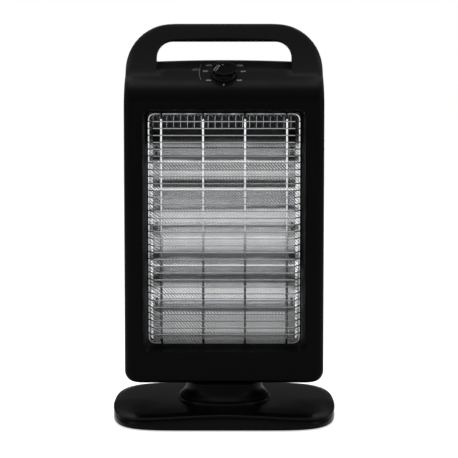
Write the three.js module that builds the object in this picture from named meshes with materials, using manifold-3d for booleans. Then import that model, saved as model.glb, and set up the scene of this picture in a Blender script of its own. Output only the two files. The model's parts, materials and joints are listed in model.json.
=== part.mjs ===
// A free-standing infrared heater with three quartz lamps, in millimetres, +Z up.
// The origin is on the floor under the swivel axis, and the heater faces -Y.
import * as THREE from 'three';
import { mergeVertices } from 'three/addons/utils/BufferGeometryUtils.js';
import Module from 'manifold-3d';

const wasm = await Module();
wasm.setup();

// Clearances, walls and cuts shared by all pieces
const seatGap = 0.3;
const runningGap = 0.5;
const plasticWall = 2.5;
const sheetThickness = 1.2;
const overrun = 3;

// Screws
const screwShaftRadius = 1.3;
const screwHeadRadius = 2.8;
const screwHeadHeight = 1.5;
const screwSides = 8;
const screwBite = 11;
const screwHoleRadius = screwShaftRadius + seatGap;

// Base: plan, crowned top and collar
const baseHalfWidth = 152;
const baseHalfDepth = 103;
const basePlanPowers = { x: 6.3, y: 2.6 };
const basePlanPoints = 48;
const planSearchSteps = 40;
const baseBottom = 1.4;
const baseRimFront = 22.8;
const baseRimSide = 15.8;
const baseRimFallPower = 1.4;
const baseLowerDraft = 0.8;
const baseRimRadius = 6;
const collarRadius = 63.5;
const collarFootRise = 1.2;
const collarHeight = 3.5;
const collarChamfer = 1.4;
const collarFoot = baseRimFront + collarFootRise;
const collarTop = collarFoot + collarHeight;
const footRadius = 8;
const footHeight = 1.7;
const footInset = { x: 34, y: 33 };
const basePlateThickness = 2;
const baseScrewInset = { x: 56, y: 41 };
const baseBossRadius = 4;
const baseBossTop = 21;

// Swivel: neck, spigot through the collar, washer and retaining ring
const washerThickness = 0.8;
const swivelHeight = collarTop + washerThickness + seatGap * 2;
const neckRadius = 55.5;
const neckHeight = 22.3;
const spigotRadius = 36;
const spigotWall = 5;
const spigotLength = 9.9;
const spigotBottom = swivelHeight - spigotLength;
const collarLipWall = 3.5;
const ringThickness = 2.2;
const ringOuterRadius = 43;
const ringInnerRadius = 30;
const neckBossRadius = 4.5;
const neckScrewSpread = { x: 42, y: 22 };
const cableHoleRadius = 6;
const cableHoleSetback = 21;

// Oscillation drive: motor on the neck, crank pin in the slotted bracket on the base
const motorSetback = 16;
const crankRadius = 9.2;
const crankPinRadius = 2;
const crankPinPlay = 2;
const crankShaftRadius = 3;
const crankArmThickness = 2.6;
const crankArmRim = 3.5;
const crankPinLength = 6.2;
const motorRadius = 25;
const motorHeight = 15;
const motorEarReach = 7;
const motorEarWidth = 9;
const slotPlateThickness = 2.5;
const slotPlateHalfWidth = 9;
const slotPlateEnd = 6;
const slotLegHeight = 7;

// Tip-over switch under the base
const tipSwitchPlace = { x: -72, y: 44 };
const tipTravel = 4;
const tipHousing = { width: 16, depth: 14, height: 12.6 };
const tipBoreRadius = 4.4;
const tipRodRadius = 2.2;
const tipPinRadius = 1.2;
const tipFlangeRadius = 3.8;
const tipFlangeThickness = 1.2;
const tipPinLength = 3;
const tipRoof = 1.6;
const springWire = 0.7;
const springRadius = 2.7;
const springTurns = 4;
const springTurnSteps = 8;
const springSides = 5;

// Cord entry at the rear of the base
const bushRadius = 4.5;
const bushBore = 3.4;
const bushHeight = 10.5;
const bushLength = 9;
const bushFlangeRadius = 6;
const bushFlangeThickness = 1.5;

// Head: outline seen from the front
const headHalfWidth = 135;
const headHeight = 486.5;
const headBottom = swivelHeight + neckHeight + seatGap;
const headTop = headBottom + headHeight;
const headBottomCorner = 16;
const headTopCorner = 63.5;
// Head: profile seen from the side
const headFront = -45;
const headRear = 47;
const panelHeight = 117;
const panelStart = headTop - panelHeight;
const panelRadius = 51;
const panelTilt = 55.4;
const panelRise = 67;
const handleFront = -10;
const handleRear = 35;
const rearBendRise = 9;
const rearBendDrop = 33;
const headFrontEdge = 11;
const headRearEdge = 17;
const headEndEdge = 4;
const partingPlane = 5;
// Handle opening
const handleColumnWidth = 41.8;
const handleBarHeight = 23.5;
const openingHalfWidth = headHalfWidth - handleColumnWidth;
const openingTop = headTop - handleBarHeight;
const openingCorner = 22;

// Window in the front housing and the funnel behind it
const windowMargin = 25.5;
const windowSill = 42;
const windowHalfWidth = headHalfWidth - windowMargin;
const windowBottom = headBottom + windowSill;
const windowTop = panelStart;
const windowCorner = 9.5;
const funnelDraft = { side: 5.3, bottom: 8, top: 3.5 };
const funnelHalfWidth = windowHalfWidth - funnelDraft.side;
const funnelBottom = windowBottom + funnelDraft.bottom;
const funnelTop = windowTop - funnelDraft.top;
const funnelCorner = 6;
const funnelRear = -13.3;
const funnelWall = 2.2;

// Vent slots in the rear housing
const ventWidth = 76;
const ventHeight = 4;
const ventPitch = 10;
const ventColumn = 50;
const upperVentDrop = 55;
const upperVentRows = 7;
const lowerVentRise = 18.5;
const lowerVentRows = 3;

// Housing screws, driven in from the rear
const housingBossRadius = 4.5;
const housingScrewInset = 10;
const housingScrewShares = [0.055, 0.305, 0.8];

// Wire guard
const guardWireRadius = 1;
const guardUprightRadius = 1.4;
const guardFrameRadius = 1.75;
const guardSetback = 7;
const guardFrameSetback = 16;
const guardWireCount = 32;
const guardWireInset = { side: 8.2, bottom: 15.2, top: 12.5 };
const guardUprights = 4;
const guardUprightInset = 11.25;
const guardWeld = 0.7;
const guardBend = 4;
const guardWireSides = 4;

// Reflector with its three troughs
const troughCount = 3;
const reflectorInset = { side: 6.7, bottom: 2, top: 0.5 };
const reflectorRim = funnelRear + seatGap;
const reflectorBottom = funnelBottom + reflectorInset.bottom;
const reflectorTop = funnelTop - reflectorInset.top;
const reflectorHalfWidth = funnelHalfWidth - reflectorInset.side;
const troughPitch = (reflectorTop - reflectorBottom) / troughCount;
const troughDepth = 30;
const troughHeightShares = [0, 0.1, 0.24, 0.4, 0.6, 0.76, 0.9];
const troughDepthShares = [0.14, 0.5, 0.86, 1, 1, 0.86, 0.5];
const reflectorEndSlope = 11.5;
const reflectorFlange = 9;
const reflectorVentCount = 21;
const reflectorVentInset = 3;
const reflectorVentPitch = ((reflectorHalfWidth - reflectorVentInset) * 2) / (reflectorVentCount - 1);
const reflectorVentWidth = 6;
const reflectorVentHeight = 13;

// Lamp holders and the lamps between them
const holderClearance = 7.5;
const holderX = reflectorHalfWidth + holderClearance;
const holderEndInset = 3;
const holderTop = reflectorTop - holderEndInset;
const holderBottom = reflectorBottom + holderEndInset;
const holderDepth = 33;
const holderFlange = 11;
const lampSetback = 12;
const lampTubeRadius = 5.5;
const lampTubeWall = 1.2;
const lampTubeReach = 2;
const lampTubeHalfLength = holderX + lampTubeReach;
const lampCapRadius = 7.5;
const lampCapLength = 14.7;
const lampCapInset = 5.2;
const lampCapStart = holderX - lampCapInset;
const filamentRadius = 1;
const filamentSupports = 3;
const filamentSupportThickness = 0.6;
const filamentSupportPitch = 66;

// Posts of the holders, heat shield and thermal cut-out
const postRadius = 3.2;
const postOffset = 5.4;
const postInset = 8;
const shieldEndInset = 1;
const shieldHalfWidth = holderX - shieldEndInset;
const shieldPostInset = { end: 24, level: 30 };
const cutoutRadius = 9;
const cutoutHeight = 6;
const cutoutDrop = 81;

// Rotary switch, its spindle and knob, along the normal of the panel
const knobRise = 46.5;
const switchWidth = 30;
const switchDepth = 21;
const switchBushRadius = 4.8;
const switchCover = 0.6;
const spindleRadius = 3;
const spindleReach = 11;
const spindleDepth = 8;
const knobSkirtRadius = 18.2;
const knobSkirtHeight = 3;
const knobGripRadius = 15.6;
const knobFaceRadius = 13.6;
const knobHeight = 12.5;
const knobLobes = 6;
const knobLobeDepth = 1.6;
const knobGrooveRadius = 4.5;
const knobPointer = { length: 9, width: 2.6, height: 0.8 };
const knobPointerAngle = 130;

// Leads from the switch down to the lamps
const leadRadius = 1.6;
const leadSides = 6;
const leadBottomInset = 4;
const leadTurnRise = 3;
const leadShoulder = { inset: 24, rise: 27 };

// Finishes
const finish = (color, roughness, metalness) =>
  new THREE.MeshStandardMaterial({ color, roughness, metalness });
const blackPlastic = () => finish(0x141414, 0.35, 0);
const innerPlastic = () => finish(0x1b1b1b, 0.5, 0);
const whitePlastic = () => finish(0xd8d5cc, 0.5, 0);
const rubber = () => finish(0x161616, 0.85, 0);
const chromedSteel = () => finish(0xc9ccd0, 0.18, 1);
const zincSteel = () => finish(0xa9acb0, 0.4, 1);
const brightAluminium = () => finish(0xd4d6d9, 0.25, 1);
const ceramicWhite = () => finish(0xe8e4da, 0.6, 0);
const quartz = () => finish(0xeef2f5, 0.05, 0);
const tungsten = () => finish(0x6e6a66, 0.4, 1);

// Turning geometries into solids and back
function asSolid(shape) {
  if (!shape.isBufferGeometry) return shape;
  const bare = shape.clone();
  bare.deleteAttribute('normal');
  bare.deleteAttribute('uv');
  const merged = mergeVertices(bare);
  return new wasm.Manifold(
    new wasm.Mesh({
      numProp: 3,
      vertProperties: Float32Array.from(merged.attributes.position.array),
      triVerts: Uint32Array.from(merged.index.array),
    }),
  );
}

function asGeometry(shape) {
  if (shape.isBufferGeometry) return shape;
  const mesh = shape.getMesh();
  const geometry = new THREE.BufferGeometry();
  geometry.setAttribute('position', new THREE.BufferAttribute(mesh.vertProperties, mesh.numProp));
  geometry.setIndex(new THREE.BufferAttribute(mesh.triVerts, 1));
  geometry.computeVertexNormals();
  return geometry;
}

const join = (first, ...others) =>
  others.reduce((sum, other) => sum.add(asSolid(other)), asSolid(first));
const cut = (first, ...others) =>
  others.reduce((rest, other) => rest.subtract(asSolid(other)), asSolid(first));
const common = (first, second) => asSolid(first).intersect(asSolid(second));

// Basic shapes, each placed by its limits
function block(x0, x1, y0, y1, z0, z1) {
  const geometry = new THREE.BoxGeometry(x1 - x0, y1 - y0, z1 - z0);
  return geometry.translate((x0 + x1) / 2, (y0 + y1) / 2, (z0 + z1) / 2);
}

function rodZ(radius, z0, z1, x = 0, y = 0, sides = 24) {
  const geometry = new THREE.CylinderGeometry(radius, radius, z1 - z0, sides);
  return geometry.rotateX(Math.PI / 2).translate(x, y, (z0 + z1) / 2);
}

function rodY(radius, y0, y1, x, z, sides = 12) {
  const geometry = new THREE.CylinderGeometry(radius, radius, y1 - y0, sides);
  return geometry.translate(x, (y0 + y1) / 2, z);
}

function rodX(radius, x0, x1, y, z, sides = 16) {
  const geometry = new THREE.CylinderGeometry(radius, radius, x1 - x0, sides);
  return geometry.rotateZ(Math.PI / 2).translate((x0 + x1) / 2, y, z);
}

const point2 = (x, y) => new THREE.Vector2(x, y);
const point3 = (x, y, z) => new THREE.Vector3(x, y, z);

// Flat outlines pushed along Y (from points x, z) or along X (from points y, z)
function prismY(points, y0, y1) {
  const flat = new THREE.ExtrudeGeometry(new THREE.Shape(points), {
    depth: y1 - y0,
    bevelEnabled: false,
  });
  return flat.rotateX(Math.PI / 2).translate(0, y1, 0);
}

function prismX(points, x0, x1) {
  const flat = new THREE.ExtrudeGeometry(new THREE.Shape(points), {
    depth: x1 - x0,
    bevelEnabled: false,
  });
  const turn = new THREE.Matrix4().makeBasis(point3(0, 1, 0), point3(0, 0, 1), point3(1, 0, 0));
  return flat.applyMatrix4(turn).translate(x0, 0, 0);
}

function prismZ(points, z0, z1) {
  const flat = new THREE.ExtrudeGeometry(new THREE.Shape(points), {
    depth: z1 - z0,
    bevelEnabled: false,
  });
  return flat.translate(0, 0, z0);
}

// Points of an arc in a plane, from one angle to another in degrees
function arcPoints(cx, cy, radius, from, to, steps) {
  return Array.from({ length: steps + 1 }, (_, i) => {
    const angle = THREE.MathUtils.degToRad(from + ((to - from) * i) / steps);
    return point2(cx + radius * Math.cos(angle), cy + radius * Math.sin(angle));
  });
}

// The corners of a regular polygon, with a flat side towards each axis when it has four
function regularPoints(radius, sides) {
  const half = 180 / sides;
  return arcPoints(0, 0, radius, half, 360 - half, sides - 1);
}

// A closed skin over a stack of loops that all have the same number of points
function loft(loops) {
  const count = loops[0].length;
  const centre = (loop) => loop.reduce((sum, p) => sum.add(p), point3(0, 0, 0)).divideScalar(count);
  const points = [...loops.flat(), centre(loops[0]), centre(loops[loops.length - 1])];
  const index = [];
  const first = loops.length * count;
  const lastRow = first - count;
  for (let j = 0; j < count; j++) {
    const next = (j + 1) % count;
    for (let i = 0; i + 1 < loops.length; i++) {
      const [a, b] = [i * count + j, i * count + next];
      index.push(a, b, b + count, a, b + count, a + count);
    }
    index.push(first, next, j, first + 1, lastRow + j, lastRow + next);
  }
  const geometry = new THREE.BufferGeometry().setFromPoints(points);
  geometry.setIndex(index);
  geometry.computeVertexNormals();
  return geometry;
}

// A path of straight stretches, for a wire bent at its corners
class BentPath extends THREE.Curve {
  constructor(points) {
    super();
    this.points = points;
  }

  getPoint(t, target = new THREE.Vector3()) {
    const last = this.points.length - 1;
    const place = t * last;
    const i = Math.min(Math.floor(place), last - 1);
    return target.lerpVectors(this.points[i], this.points[i + 1], place - i);
  }

  getPointAt(u, target) {
    return this.getPoint(u, target);
  }

  getTangentAt(u, target = new THREE.Vector3()) {
    const last = this.points.length - 1;
    const i = Math.round(u * last);
    const [before, here, after] = [Math.max(i - 1, 0), i, Math.min(i + 1, last)];
    const arriving = point3(0, 0, 0).subVectors(this.points[here], this.points[before]).normalize();
    const leaving = point3(0, 0, 0).subVectors(this.points[after], this.points[here]).normalize();
    return target.addVectors(arriving, leaving).normalize();
  }
}

function wire(points, radius, sides) {
  return new THREE.ExtrudeGeometry(new THREE.Shape(regularPoints(radius, sides)), {
    steps: points.length - 1,
    extrudePath: new BentPath(points),
    bevelEnabled: false,
  });
}

// A screw standing on its head, its shaft along +Z from the seat under the head
function screwShape(seat, length, radius = screwShaftRadius) {
  const head = rodZ(screwHeadRadius, seat - screwHeadHeight, seat, 0, 0, screwSides);
  const shaft = rodZ(radius, seat - screwHeadHeight / 2, seat + length, 0, 0, screwSides);
  return join(head, shaft);
}

const heater = new THREE.Group();

function addPiece(name, shape, material, parent = heater) {
  const piece = new THREE.Mesh(asGeometry(shape), material);
  piece.name = name;
  parent.add(piece);
  return piece;
}

// Base plan: a rounded rectangle with bowed sides. Its points lie at even angles round the axis.
function evenRound(placeAt) {
  return Array.from({ length: basePlanPoints }, (_, i) => {
    const angle = (2 * Math.PI * (i + 0.5)) / basePlanPoints;
    return placeAt(Math.cos(angle), Math.sin(angle));
  });
}

function planReach(c, s, halfWidth, halfDepth) {
  let [inside, outside] = [0, halfWidth + halfDepth];
  for (let i = 0; i < planSearchSteps; i++) {
    const reach = (inside + outside) / 2;
    const across = Math.abs(reach * c) / halfWidth;
    const along = Math.abs(reach * s) / halfDepth;
    if (across ** basePlanPowers.x + along ** basePlanPowers.y > 1) outside = reach;
    else inside = reach;
  }
  return inside;
}

function basePlan(inset, heightAt) {
  return evenRound((c, s) => {
    const reach = planReach(c, s, baseHalfWidth - inset, baseHalfDepth - inset);
    return point3(reach * c, reach * s, heightAt(reach * c));
  });
}

const baseRimAt = (x) => {
  const fall = Math.min(Math.abs(x) / baseHalfWidth, 1) ** baseRimFallPower;
  return baseRimFront + (baseRimSide - baseRimFront) * fall;
};

const circleLoop = (radius, height) => evenRound((c, s) => point3(radius * c, radius * s, height));

// The crown between the rim and the collar's foot: share 0 is the rim, 1 the collar
function crownLoop(share, inset, drop, radius) {
  const foot = circleLoop(radius, collarFoot - drop);
  const rise = 1 - (1 - share) ** 2;
  return basePlan(inset, (x) => baseRimAt(x) - drop).map((p, i) => {
    const height = p.z + (foot[i].z - p.z) * rise;
    return p.lerp(foot[i], share).setZ(height);
  });
}

function baseOuter() {
  const rim = baseRimRadius;
  const rolled = [0, 30, 60].map((degrees) => {
    const angle = THREE.MathUtils.degToRad(degrees);
    const inset = baseLowerDraft + rim * (1 - Math.cos(angle));
    return basePlan(inset, (x) => baseRimAt(x) - rim * (1 - Math.sin(angle)));
  });
  return loft([
    basePlan(baseLowerDraft, () => baseBottom),
    basePlan(0, (x) => baseBottom + (baseRimAt(x) - rim - baseBottom) / 3),
    ...rolled,
    ...[0, 0.35, 0.7, 1].map((share) => crownLoop(share, rim + baseLowerDraft, 0, collarRadius)),
    circleLoop(collarRadius, collarTop - collarChamfer),
    circleLoop(collarRadius - collarChamfer, collarTop),
  ]);
}

function baseInner() {
  const rim = baseRimRadius;
  const inset = rim + plasticWall;
  return loft([
    basePlan(plasticWall + baseLowerDraft, () => baseBottom - overrun),
    basePlan(plasticWall + baseLowerDraft, (x) => baseRimAt(x) - rim - plasticWall),
    crownLoop(0, inset, plasticWall, collarRadius - plasticWall),
    crownLoop(0.5, inset, plasticWall, collarRadius - plasticWall),
    crownLoop(1, inset, plasticWall, collarRadius - plasticWall),
    circleLoop(collarRadius - plasticWall, collarTop - plasticWall),
  ]);
}

const corners = [
  { x: -1, y: -1, name: 'front_left' },
  { x: 1, y: -1, name: 'front_right' },
  { x: -1, y: 1, name: 'rear_left' },
  { x: 1, y: 1, name: 'rear_right' },
];
const spreadFrom = (inset) => ({ x: baseHalfWidth - inset.x, y: baseHalfDepth - inset.y });
const footSpread = spreadFrom(footInset);
const baseScrewSpread = spreadFrom(baseScrewInset);
const basePlateBottom = footHeight + seatGap;
const basePlateTop = basePlateBottom + basePlateThickness;
const basePlateInset = plasticWall + baseLowerDraft + seatGap;
const collarHoleRadius = spigotRadius + runningGap;

function buildBaseCover() {
  const outer = asSolid(baseOuter());
  const lipBottom = spigotBottom + seatGap;
  const lip = cut(
    rodZ(collarHoleRadius + collarLipWall, lipBottom, collarTop - plasticWall / 2, 0, 0, 36),
    rodZ(collarHoleRadius, lipBottom - overrun, collarTop, 0, 0, 36),
  );
  let cover = cut(outer, baseInner());
  for (const { x, y } of corners) {
    const [bx, by] = [x * baseScrewSpread.x, y * baseScrewSpread.y];
    const boss = rodZ(baseBossRadius, basePlateTop + seatGap, baseBossTop, bx, by, 12);
    cover = join(cover, common(boss, outer));
    cover = cut(cover, rodZ(screwHoleRadius, baseBottom, screwBite + seatGap, bx, by, screwSides));
  }
  const hole = rodZ(collarHoleRadius, collarFoot - overrun * 2, collarTop + overrun, 0, 0, 36);
  const wallRear = baseHalfDepth + overrun;
  const cordHole = rodY(bushRadius + seatGap, baseHalfDepth - bushLength, wallRear, 0, bushHeight);
  return cut(join(cut(cover, hole), lip), cordHole);
}

function buildBasePlate() {
  const plan = basePlan(basePlateInset, () => 0).map((p) => point2(p.x, p.y));
  let plate = asSolid(prismZ(plan, basePlateBottom, basePlateTop));
  for (const { x, y } of corners) {
    const [bx, by] = [x * baseScrewSpread.x, y * baseScrewSpread.y];
    plate = cut(plate, rodZ(screwHoleRadius, 0, basePlateTop + overrun, bx, by, screwSides));
  }
  const { x, y } = tipSwitchPlace;
  plate = cut(plate, rodZ(tipRodRadius + seatGap, 0, basePlateTop + overrun, x, y, 12));
  const bracketHole = rodZ(screwHoleRadius, 0, basePlateTop + overrun, 0, slotFootHole, screwSides);
  return cut(plate, bracketHole);
}

// Slotted bracket: a plate on two legs, with a foot that one screw holds to the base plate
const crankPinNear = Math.sqrt(motorSetback ** 2 - crankRadius ** 2);
const slotNear = crankPinNear - crankPinRadius - crankPinPlay;
const slotFar = motorSetback + crankRadius + crankPinRadius + runningGap;
const slotHalfWidth = crankPinRadius + crankPinPlay;
const bracketBottom = basePlateTop + seatGap;
const slotPlateBottom = bracketBottom + slotLegHeight;
const slotPlateTop = slotPlateBottom + slotPlateThickness;
const bracketNear = slotNear - slotPlateEnd;
const bracketFar = slotFar + slotPlateEnd;
const slotFootLength = slotPlateEnd * 2;
const slotFootHole = bracketNear - slotFootLength / 2;

function buildSlotBracket() {
  const half = slotPlateHalfWidth;
  const plate = block(-half, half, bracketNear, bracketFar, slotPlateBottom, slotPlateTop);
  const slot = block(
    -slotHalfWidth, slotHalfWidth, slotNear, slotFar,
    bracketBottom - overrun, slotPlateTop + overrun,
  );
  const legs = [bracketNear, bracketFar - slotPlateThickness].map((y) =>
    block(-half, half, y, y + slotPlateThickness, bracketBottom, slotPlateTop),
  );
  const foot = block(
    -half, half, bracketNear - slotFootLength, bracketNear + slotPlateThickness,
    bracketBottom, bracketBottom + slotPlateThickness,
  );
  const hole = rodZ(screwHoleRadius, 0, slotPlateTop, 0, slotFootHole, screwSides);
  return cut(join(plate, ...legs, foot), slot, hole);
}

const { x: tipX, y: tipY } = tipSwitchPlace;
const tipFlangeTop = basePlateTop + seatGap + tipTravel + tipFlangeThickness + seatGap;
const tipHousingTop = bracketBottom + tipHousing.height;
const tipBoreTop = tipHousingTop - tipRoof;

function buildTipHousing() {
  const { width, depth } = tipHousing;
  const body = block(
    tipX - width / 2, tipX + width / 2, tipY - depth / 2, tipY + depth / 2,
    bracketBottom, tipHousingTop,
  );
  return cut(body, rodZ(tipBoreRadius, bracketBottom - overrun, tipBoreTop, tipX, tipY, 16));
}

function buildTipPlunger() {
  const rod = rodZ(tipRodRadius, 0, tipFlangeTop, tipX, tipY, 12);
  const flangeBottom = tipFlangeTop - tipFlangeThickness;
  const flange = rodZ(tipFlangeRadius, flangeBottom, tipFlangeTop, tipX, tipY, 16);
  const pin = rodZ(tipPinRadius, flangeBottom, tipFlangeTop + tipPinLength, tipX, tipY, 8);
  return join(rod, flange, pin);
}

function buildTipSpring() {
  const bottom = tipFlangeTop + seatGap + springWire / 2;
  const top = tipBoreTop - seatGap - springWire / 2;
  const steps = springTurns * springTurnSteps;
  const points = Array.from({ length: steps + 1 }, (_, i) => {
    const angle = (2 * Math.PI * i) / springTurnSteps;
    const height = bottom + ((top - bottom) * i) / steps;
    return point3(tipX + springRadius * Math.cos(angle), tipY + springRadius * Math.sin(angle), height);
  });
  return wire(points, springWire / 2, springSides);
}

function buildBush() {
  const outerEnd = baseHalfDepth - seatGap;
  const innerEnd = outerEnd - bushLength;
  const sleeve = rodY(bushRadius, innerEnd, outerEnd, 0, bushHeight);
  const flange = rodY(bushFlangeRadius, innerEnd, innerEnd + bushFlangeThickness, 0, bushHeight);
  const bore = rodY(bushBore, innerEnd - overrun, outerEnd + overrun, 0, bushHeight);
  return cut(join(sleeve, flange), bore);
}

function addBase() {
  addPiece('base_cover', buildBaseCover(), blackPlastic());
  addPiece('base_plate', buildBasePlate(), innerPlastic());
  for (const { x, y, name } of corners) {
    const foot = rodZ(footRadius, 0, footHeight, x * footSpread.x, y * footSpread.y, 16);
    addPiece(`foot_${name}`, foot, rubber());
    const shape = screwShape(0, screwBite - basePlateBottom);
    const screw = addPiece(`base_screw_${name}`, shape, zincSteel());
    screw.position.set(x * baseScrewSpread.x, y * baseScrewSpread.y, basePlateBottom - seatGap);
  }
  addPiece('slot_bracket', buildSlotBracket(), zincSteel());
  const bracketScrew = addPiece('slot_bracket_screw', screwShape(0, basePlateThickness * 2), zincSteel());
  bracketScrew.position.set(0, slotFootHole, basePlateBottom - seatGap);
  addPiece('tip_switch_housing', buildTipHousing(), whitePlastic());
  addPiece('tip_plunger', buildTipPlunger(), innerPlastic());
  addPiece('tip_spring', buildTipSpring(), zincSteel());
  addPiece('cord_bush', buildBush(), rubber());
}

// Swivel neck: a cup whose spigot turns in the collar
const neckFloorTop = swivelHeight + plasticWall;
const neckTop = swivelHeight + neckHeight;
const ringTop = spigotBottom - seatGap;
const ringBottom = ringTop - ringThickness;
const ringScrewRadius = spigotRadius - spigotWall / 2;
const neckScrews = corners.map((corner) => ({
  x: corner.x * neckScrewSpread.x,
  y: corner.y * neckScrewSpread.y + partingPlane,
}));
const motorEarX = motorRadius + motorEarReach / 2;

function buildNeck() {
  let neck = cut(
    rodZ(neckRadius, swivelHeight, neckTop, 0, 0, 36),
    rodZ(neckRadius - plasticWall, neckFloorTop, neckTop + overrun, 0, 0, 24),
  );
  const spigot = rodZ(spigotRadius, spigotBottom, swivelHeight + plasticWall / 2, 0, 0, 24);
  const well = rodZ(spigotRadius - spigotWall, spigotBottom - overrun, swivelHeight, 0, 0, 20);
  neck = cut(join(neck, spigot), well);
  for (const { x, y } of neckScrews) {
    neck = join(neck, rodZ(neckBossRadius, neckFloorTop - plasticWall / 2, neckTop, x, y, 12));
    neck = cut(neck, rodZ(screwHoleRadius, neckTop - screwBite, neckTop + overrun, x, y, screwSides));
  }
  for (const side of [-1, 1]) {
    const [earX, ringX] = [side * motorEarX, side * ringScrewRadius];
    const pilot = rodZ(screwHoleRadius, swivelHeight - overrun, neckTop, earX, motorSetback, screwSides);
    const ringPilot = rodZ(screwHoleRadius, 0, spigotBottom + ringThickness * 2, ringX, 0, screwSides);
    neck = cut(neck, pilot, ringPilot);
  }
  const shaftHole = rodZ(crankShaftRadius + runningGap, 0, neckTop, 0, motorSetback, 16);
  const cableHole = rodZ(cableHoleRadius, 0, neckTop, 0, -cableHoleSetback, 16);
  return cut(neck, shaftHole, cableHole);
}

function buildRetainingRing() {
  let ring = cut(
    rodZ(ringOuterRadius, ringBottom, ringTop, 0, 0, 36),
    rodZ(ringInnerRadius, ringBottom - overrun, ringTop + overrun, 0, 0, 28),
  );
  for (const side of [-1, 1]) {
    ring = cut(ring, rodZ(screwHoleRadius, 0, swivelHeight, side * ringScrewRadius, 0, screwSides));
  }
  return ring;
}

function buildWasher() {
  const bottom = collarTop + seatGap;
  return cut(
    rodZ(neckRadius - plasticWall, bottom, bottom + washerThickness, 0, 0, 36),
    rodZ(collarHoleRadius + plasticWall, bottom - overrun, bottom + overrun, 0, 0, 36),
  );
}

const motorBottom = neckFloorTop + seatGap;
const shaftTop = motorBottom + motorHeight / 2;

function buildMotor() {
  const body = rodZ(motorRadius, motorBottom, motorBottom + motorHeight, 0, motorSetback, 28);
  const reach = motorRadius + motorEarReach;
  const ears = block(
    -reach, reach, motorSetback - motorEarWidth / 2, motorSetback + motorEarWidth / 2,
    motorBottom, motorBottom + sheetThickness,
  );
  const bore = rodZ(crankShaftRadius + seatGap, 0, shaftTop + seatGap, 0, motorSetback, 16);
  let motor = cut(join(body, ears), bore);
  for (const side of [-1, 1]) {
    motor = cut(motor, rodZ(screwHoleRadius, 0, neckTop, side * motorEarX, motorSetback, screwSides));
  }
  return motor;
}

function buildCrank() {
  const armBottom = ringBottom - seatGap;
  const armTop = armBottom + crankArmThickness;
  const shaft = rodZ(crankShaftRadius, armBottom, shaftTop, 0, motorSetback, 12);
  const hub = rodZ(crankShaftRadius + crankArmRim, armBottom, armTop, 0, motorSetback, 16);
  const end = rodZ(crankArmRim, armBottom, armTop, 0, motorSetback + crankRadius, 12);
  const arm = block(-crankArmRim, crankArmRim, motorSetback, motorSetback + crankRadius, armBottom, armTop);
  const pin = rodZ(crankPinRadius, armBottom - crankPinLength, armTop, 0, motorSetback + crankRadius, 12);
  return join(hub, arm, end, shaft, pin);
}

function addSwivel() {
  addPiece('swivel_washer', buildWasher(), whitePlastic());
  addPiece('swivel_neck', buildNeck(), blackPlastic());
  addPiece('retaining_ring', buildRetainingRing(), zincSteel());
  addPiece('oscillation_motor', buildMotor(), zincSteel());
  addPiece('crank_arm', buildCrank(), innerPlastic());
  [-1, 1].forEach((side, i) => {
    const ringScrew = addPiece(`ring_screw_${i + 1}`, screwShape(0, ringThickness * 2), zincSteel());
    ringScrew.position.set(side * ringScrewRadius, 0, ringBottom - seatGap);
    const motorScrewShape = screwShape(0, sheetThickness + plasticWall);
    const motorScrew = addPiece(`motor_screw_${i + 1}`, motorScrewShape, zincSteel());
    motorScrew.rotation.x = Math.PI;
    motorScrew.position.set(side * motorEarX, motorSetback, motorBottom + sheetThickness + seatGap);
  });
  neckScrews.forEach(({ x, y }, i) => {
    const screw = addPiece(`neck_screw_${i + 1}`, screwShape(0, screwBite), zincSteel());
    screw.rotation.x = Math.PI;
    screw.position.set(x, y, headBottom + plasticWall + seatGap);
  });
}

// The panel bends back over an arc, then rises straight, at a tilt, to the shelf under the handle
const panelLean = THREE.MathUtils.degToRad(panelTilt);
const arcRiseAt = (inset) => (panelRadius - inset) * Math.sin(panelLean);

function panelAt(rise, inset) {
  const level = THREE.MathUtils.clamp(rise, 0, arcRiseAt(inset));
  const bend = Math.sqrt((panelRadius - inset) ** 2 - level ** 2);
  const beyond = Math.max(rise - arcRiseAt(inset), 0);
  return headFront + panelRadius - bend + beyond * Math.tan(panelLean);
}

// The rise at which the sloping panel meets the front of the handle's legs
function creaseRise(inset) {
  const behind = handleFront + inset - panelAt(arcRiseAt(inset), inset);
  return arcRiseAt(inset) + behind / Math.tan(panelLean);
}

// Head outline at a height: half width, front and rear, each moved inwards by an inset
function headSection(z, inset) {
  const bottom = headBottom + inset;
  const top = headTop - inset;
  const [low, high] = [headBottomCorner - inset, headTopCorner - inset];
  const below = Math.max(bottom + low - z, 0);
  const above = Math.max(z - (top - high), 0);
  const narrowing = low - Math.sqrt(Math.max(low ** 2 - below ** 2, 0))
    + high - Math.sqrt(Math.max(high ** 2 - above ** 2, 0));
  const lean = THREE.MathUtils.smoothstep(z, panelStart + rearBendRise, headTop - rearBendDrop);
  const rear = headRear + (handleRear - headRear) * lean - inset;
  const nearEnd = Math.max(headEndEdge - (z - bottom), headEndEdge - (top - z), 0);
  const ease = headEndEdge - Math.sqrt(headEndEdge ** 2 - Math.min(nearEnd, headEndEdge) ** 2);
  return {
    halfWidth: headHalfWidth - inset - narrowing,
    front: Math.min(panelAt(z - panelStart, inset), handleFront + inset) + ease,
    rear: rear - ease,
  };
}

function headLoop(z, inset, cornerSteps) {
  const { halfWidth, front, rear } = headSection(z, inset);
  const [rf, rr] = [headFrontEdge - inset, headRearEdge - inset];
  const flat = [
    ...arcPoints(halfWidth - rf, front + rf, rf, -90, 0, cornerSteps),
    ...arcPoints(halfWidth - rr, rear - rr, rr, 0, 90, cornerSteps),
    ...arcPoints(rr - halfWidth, rear - rr, rr, 90, 180, cornerSteps),
    ...arcPoints(rf - halfWidth, front + rf, rf, 180, 270, cornerSteps),
  ];
  return flat.map((p) => point3(p.x, p.y, z));
}

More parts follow.
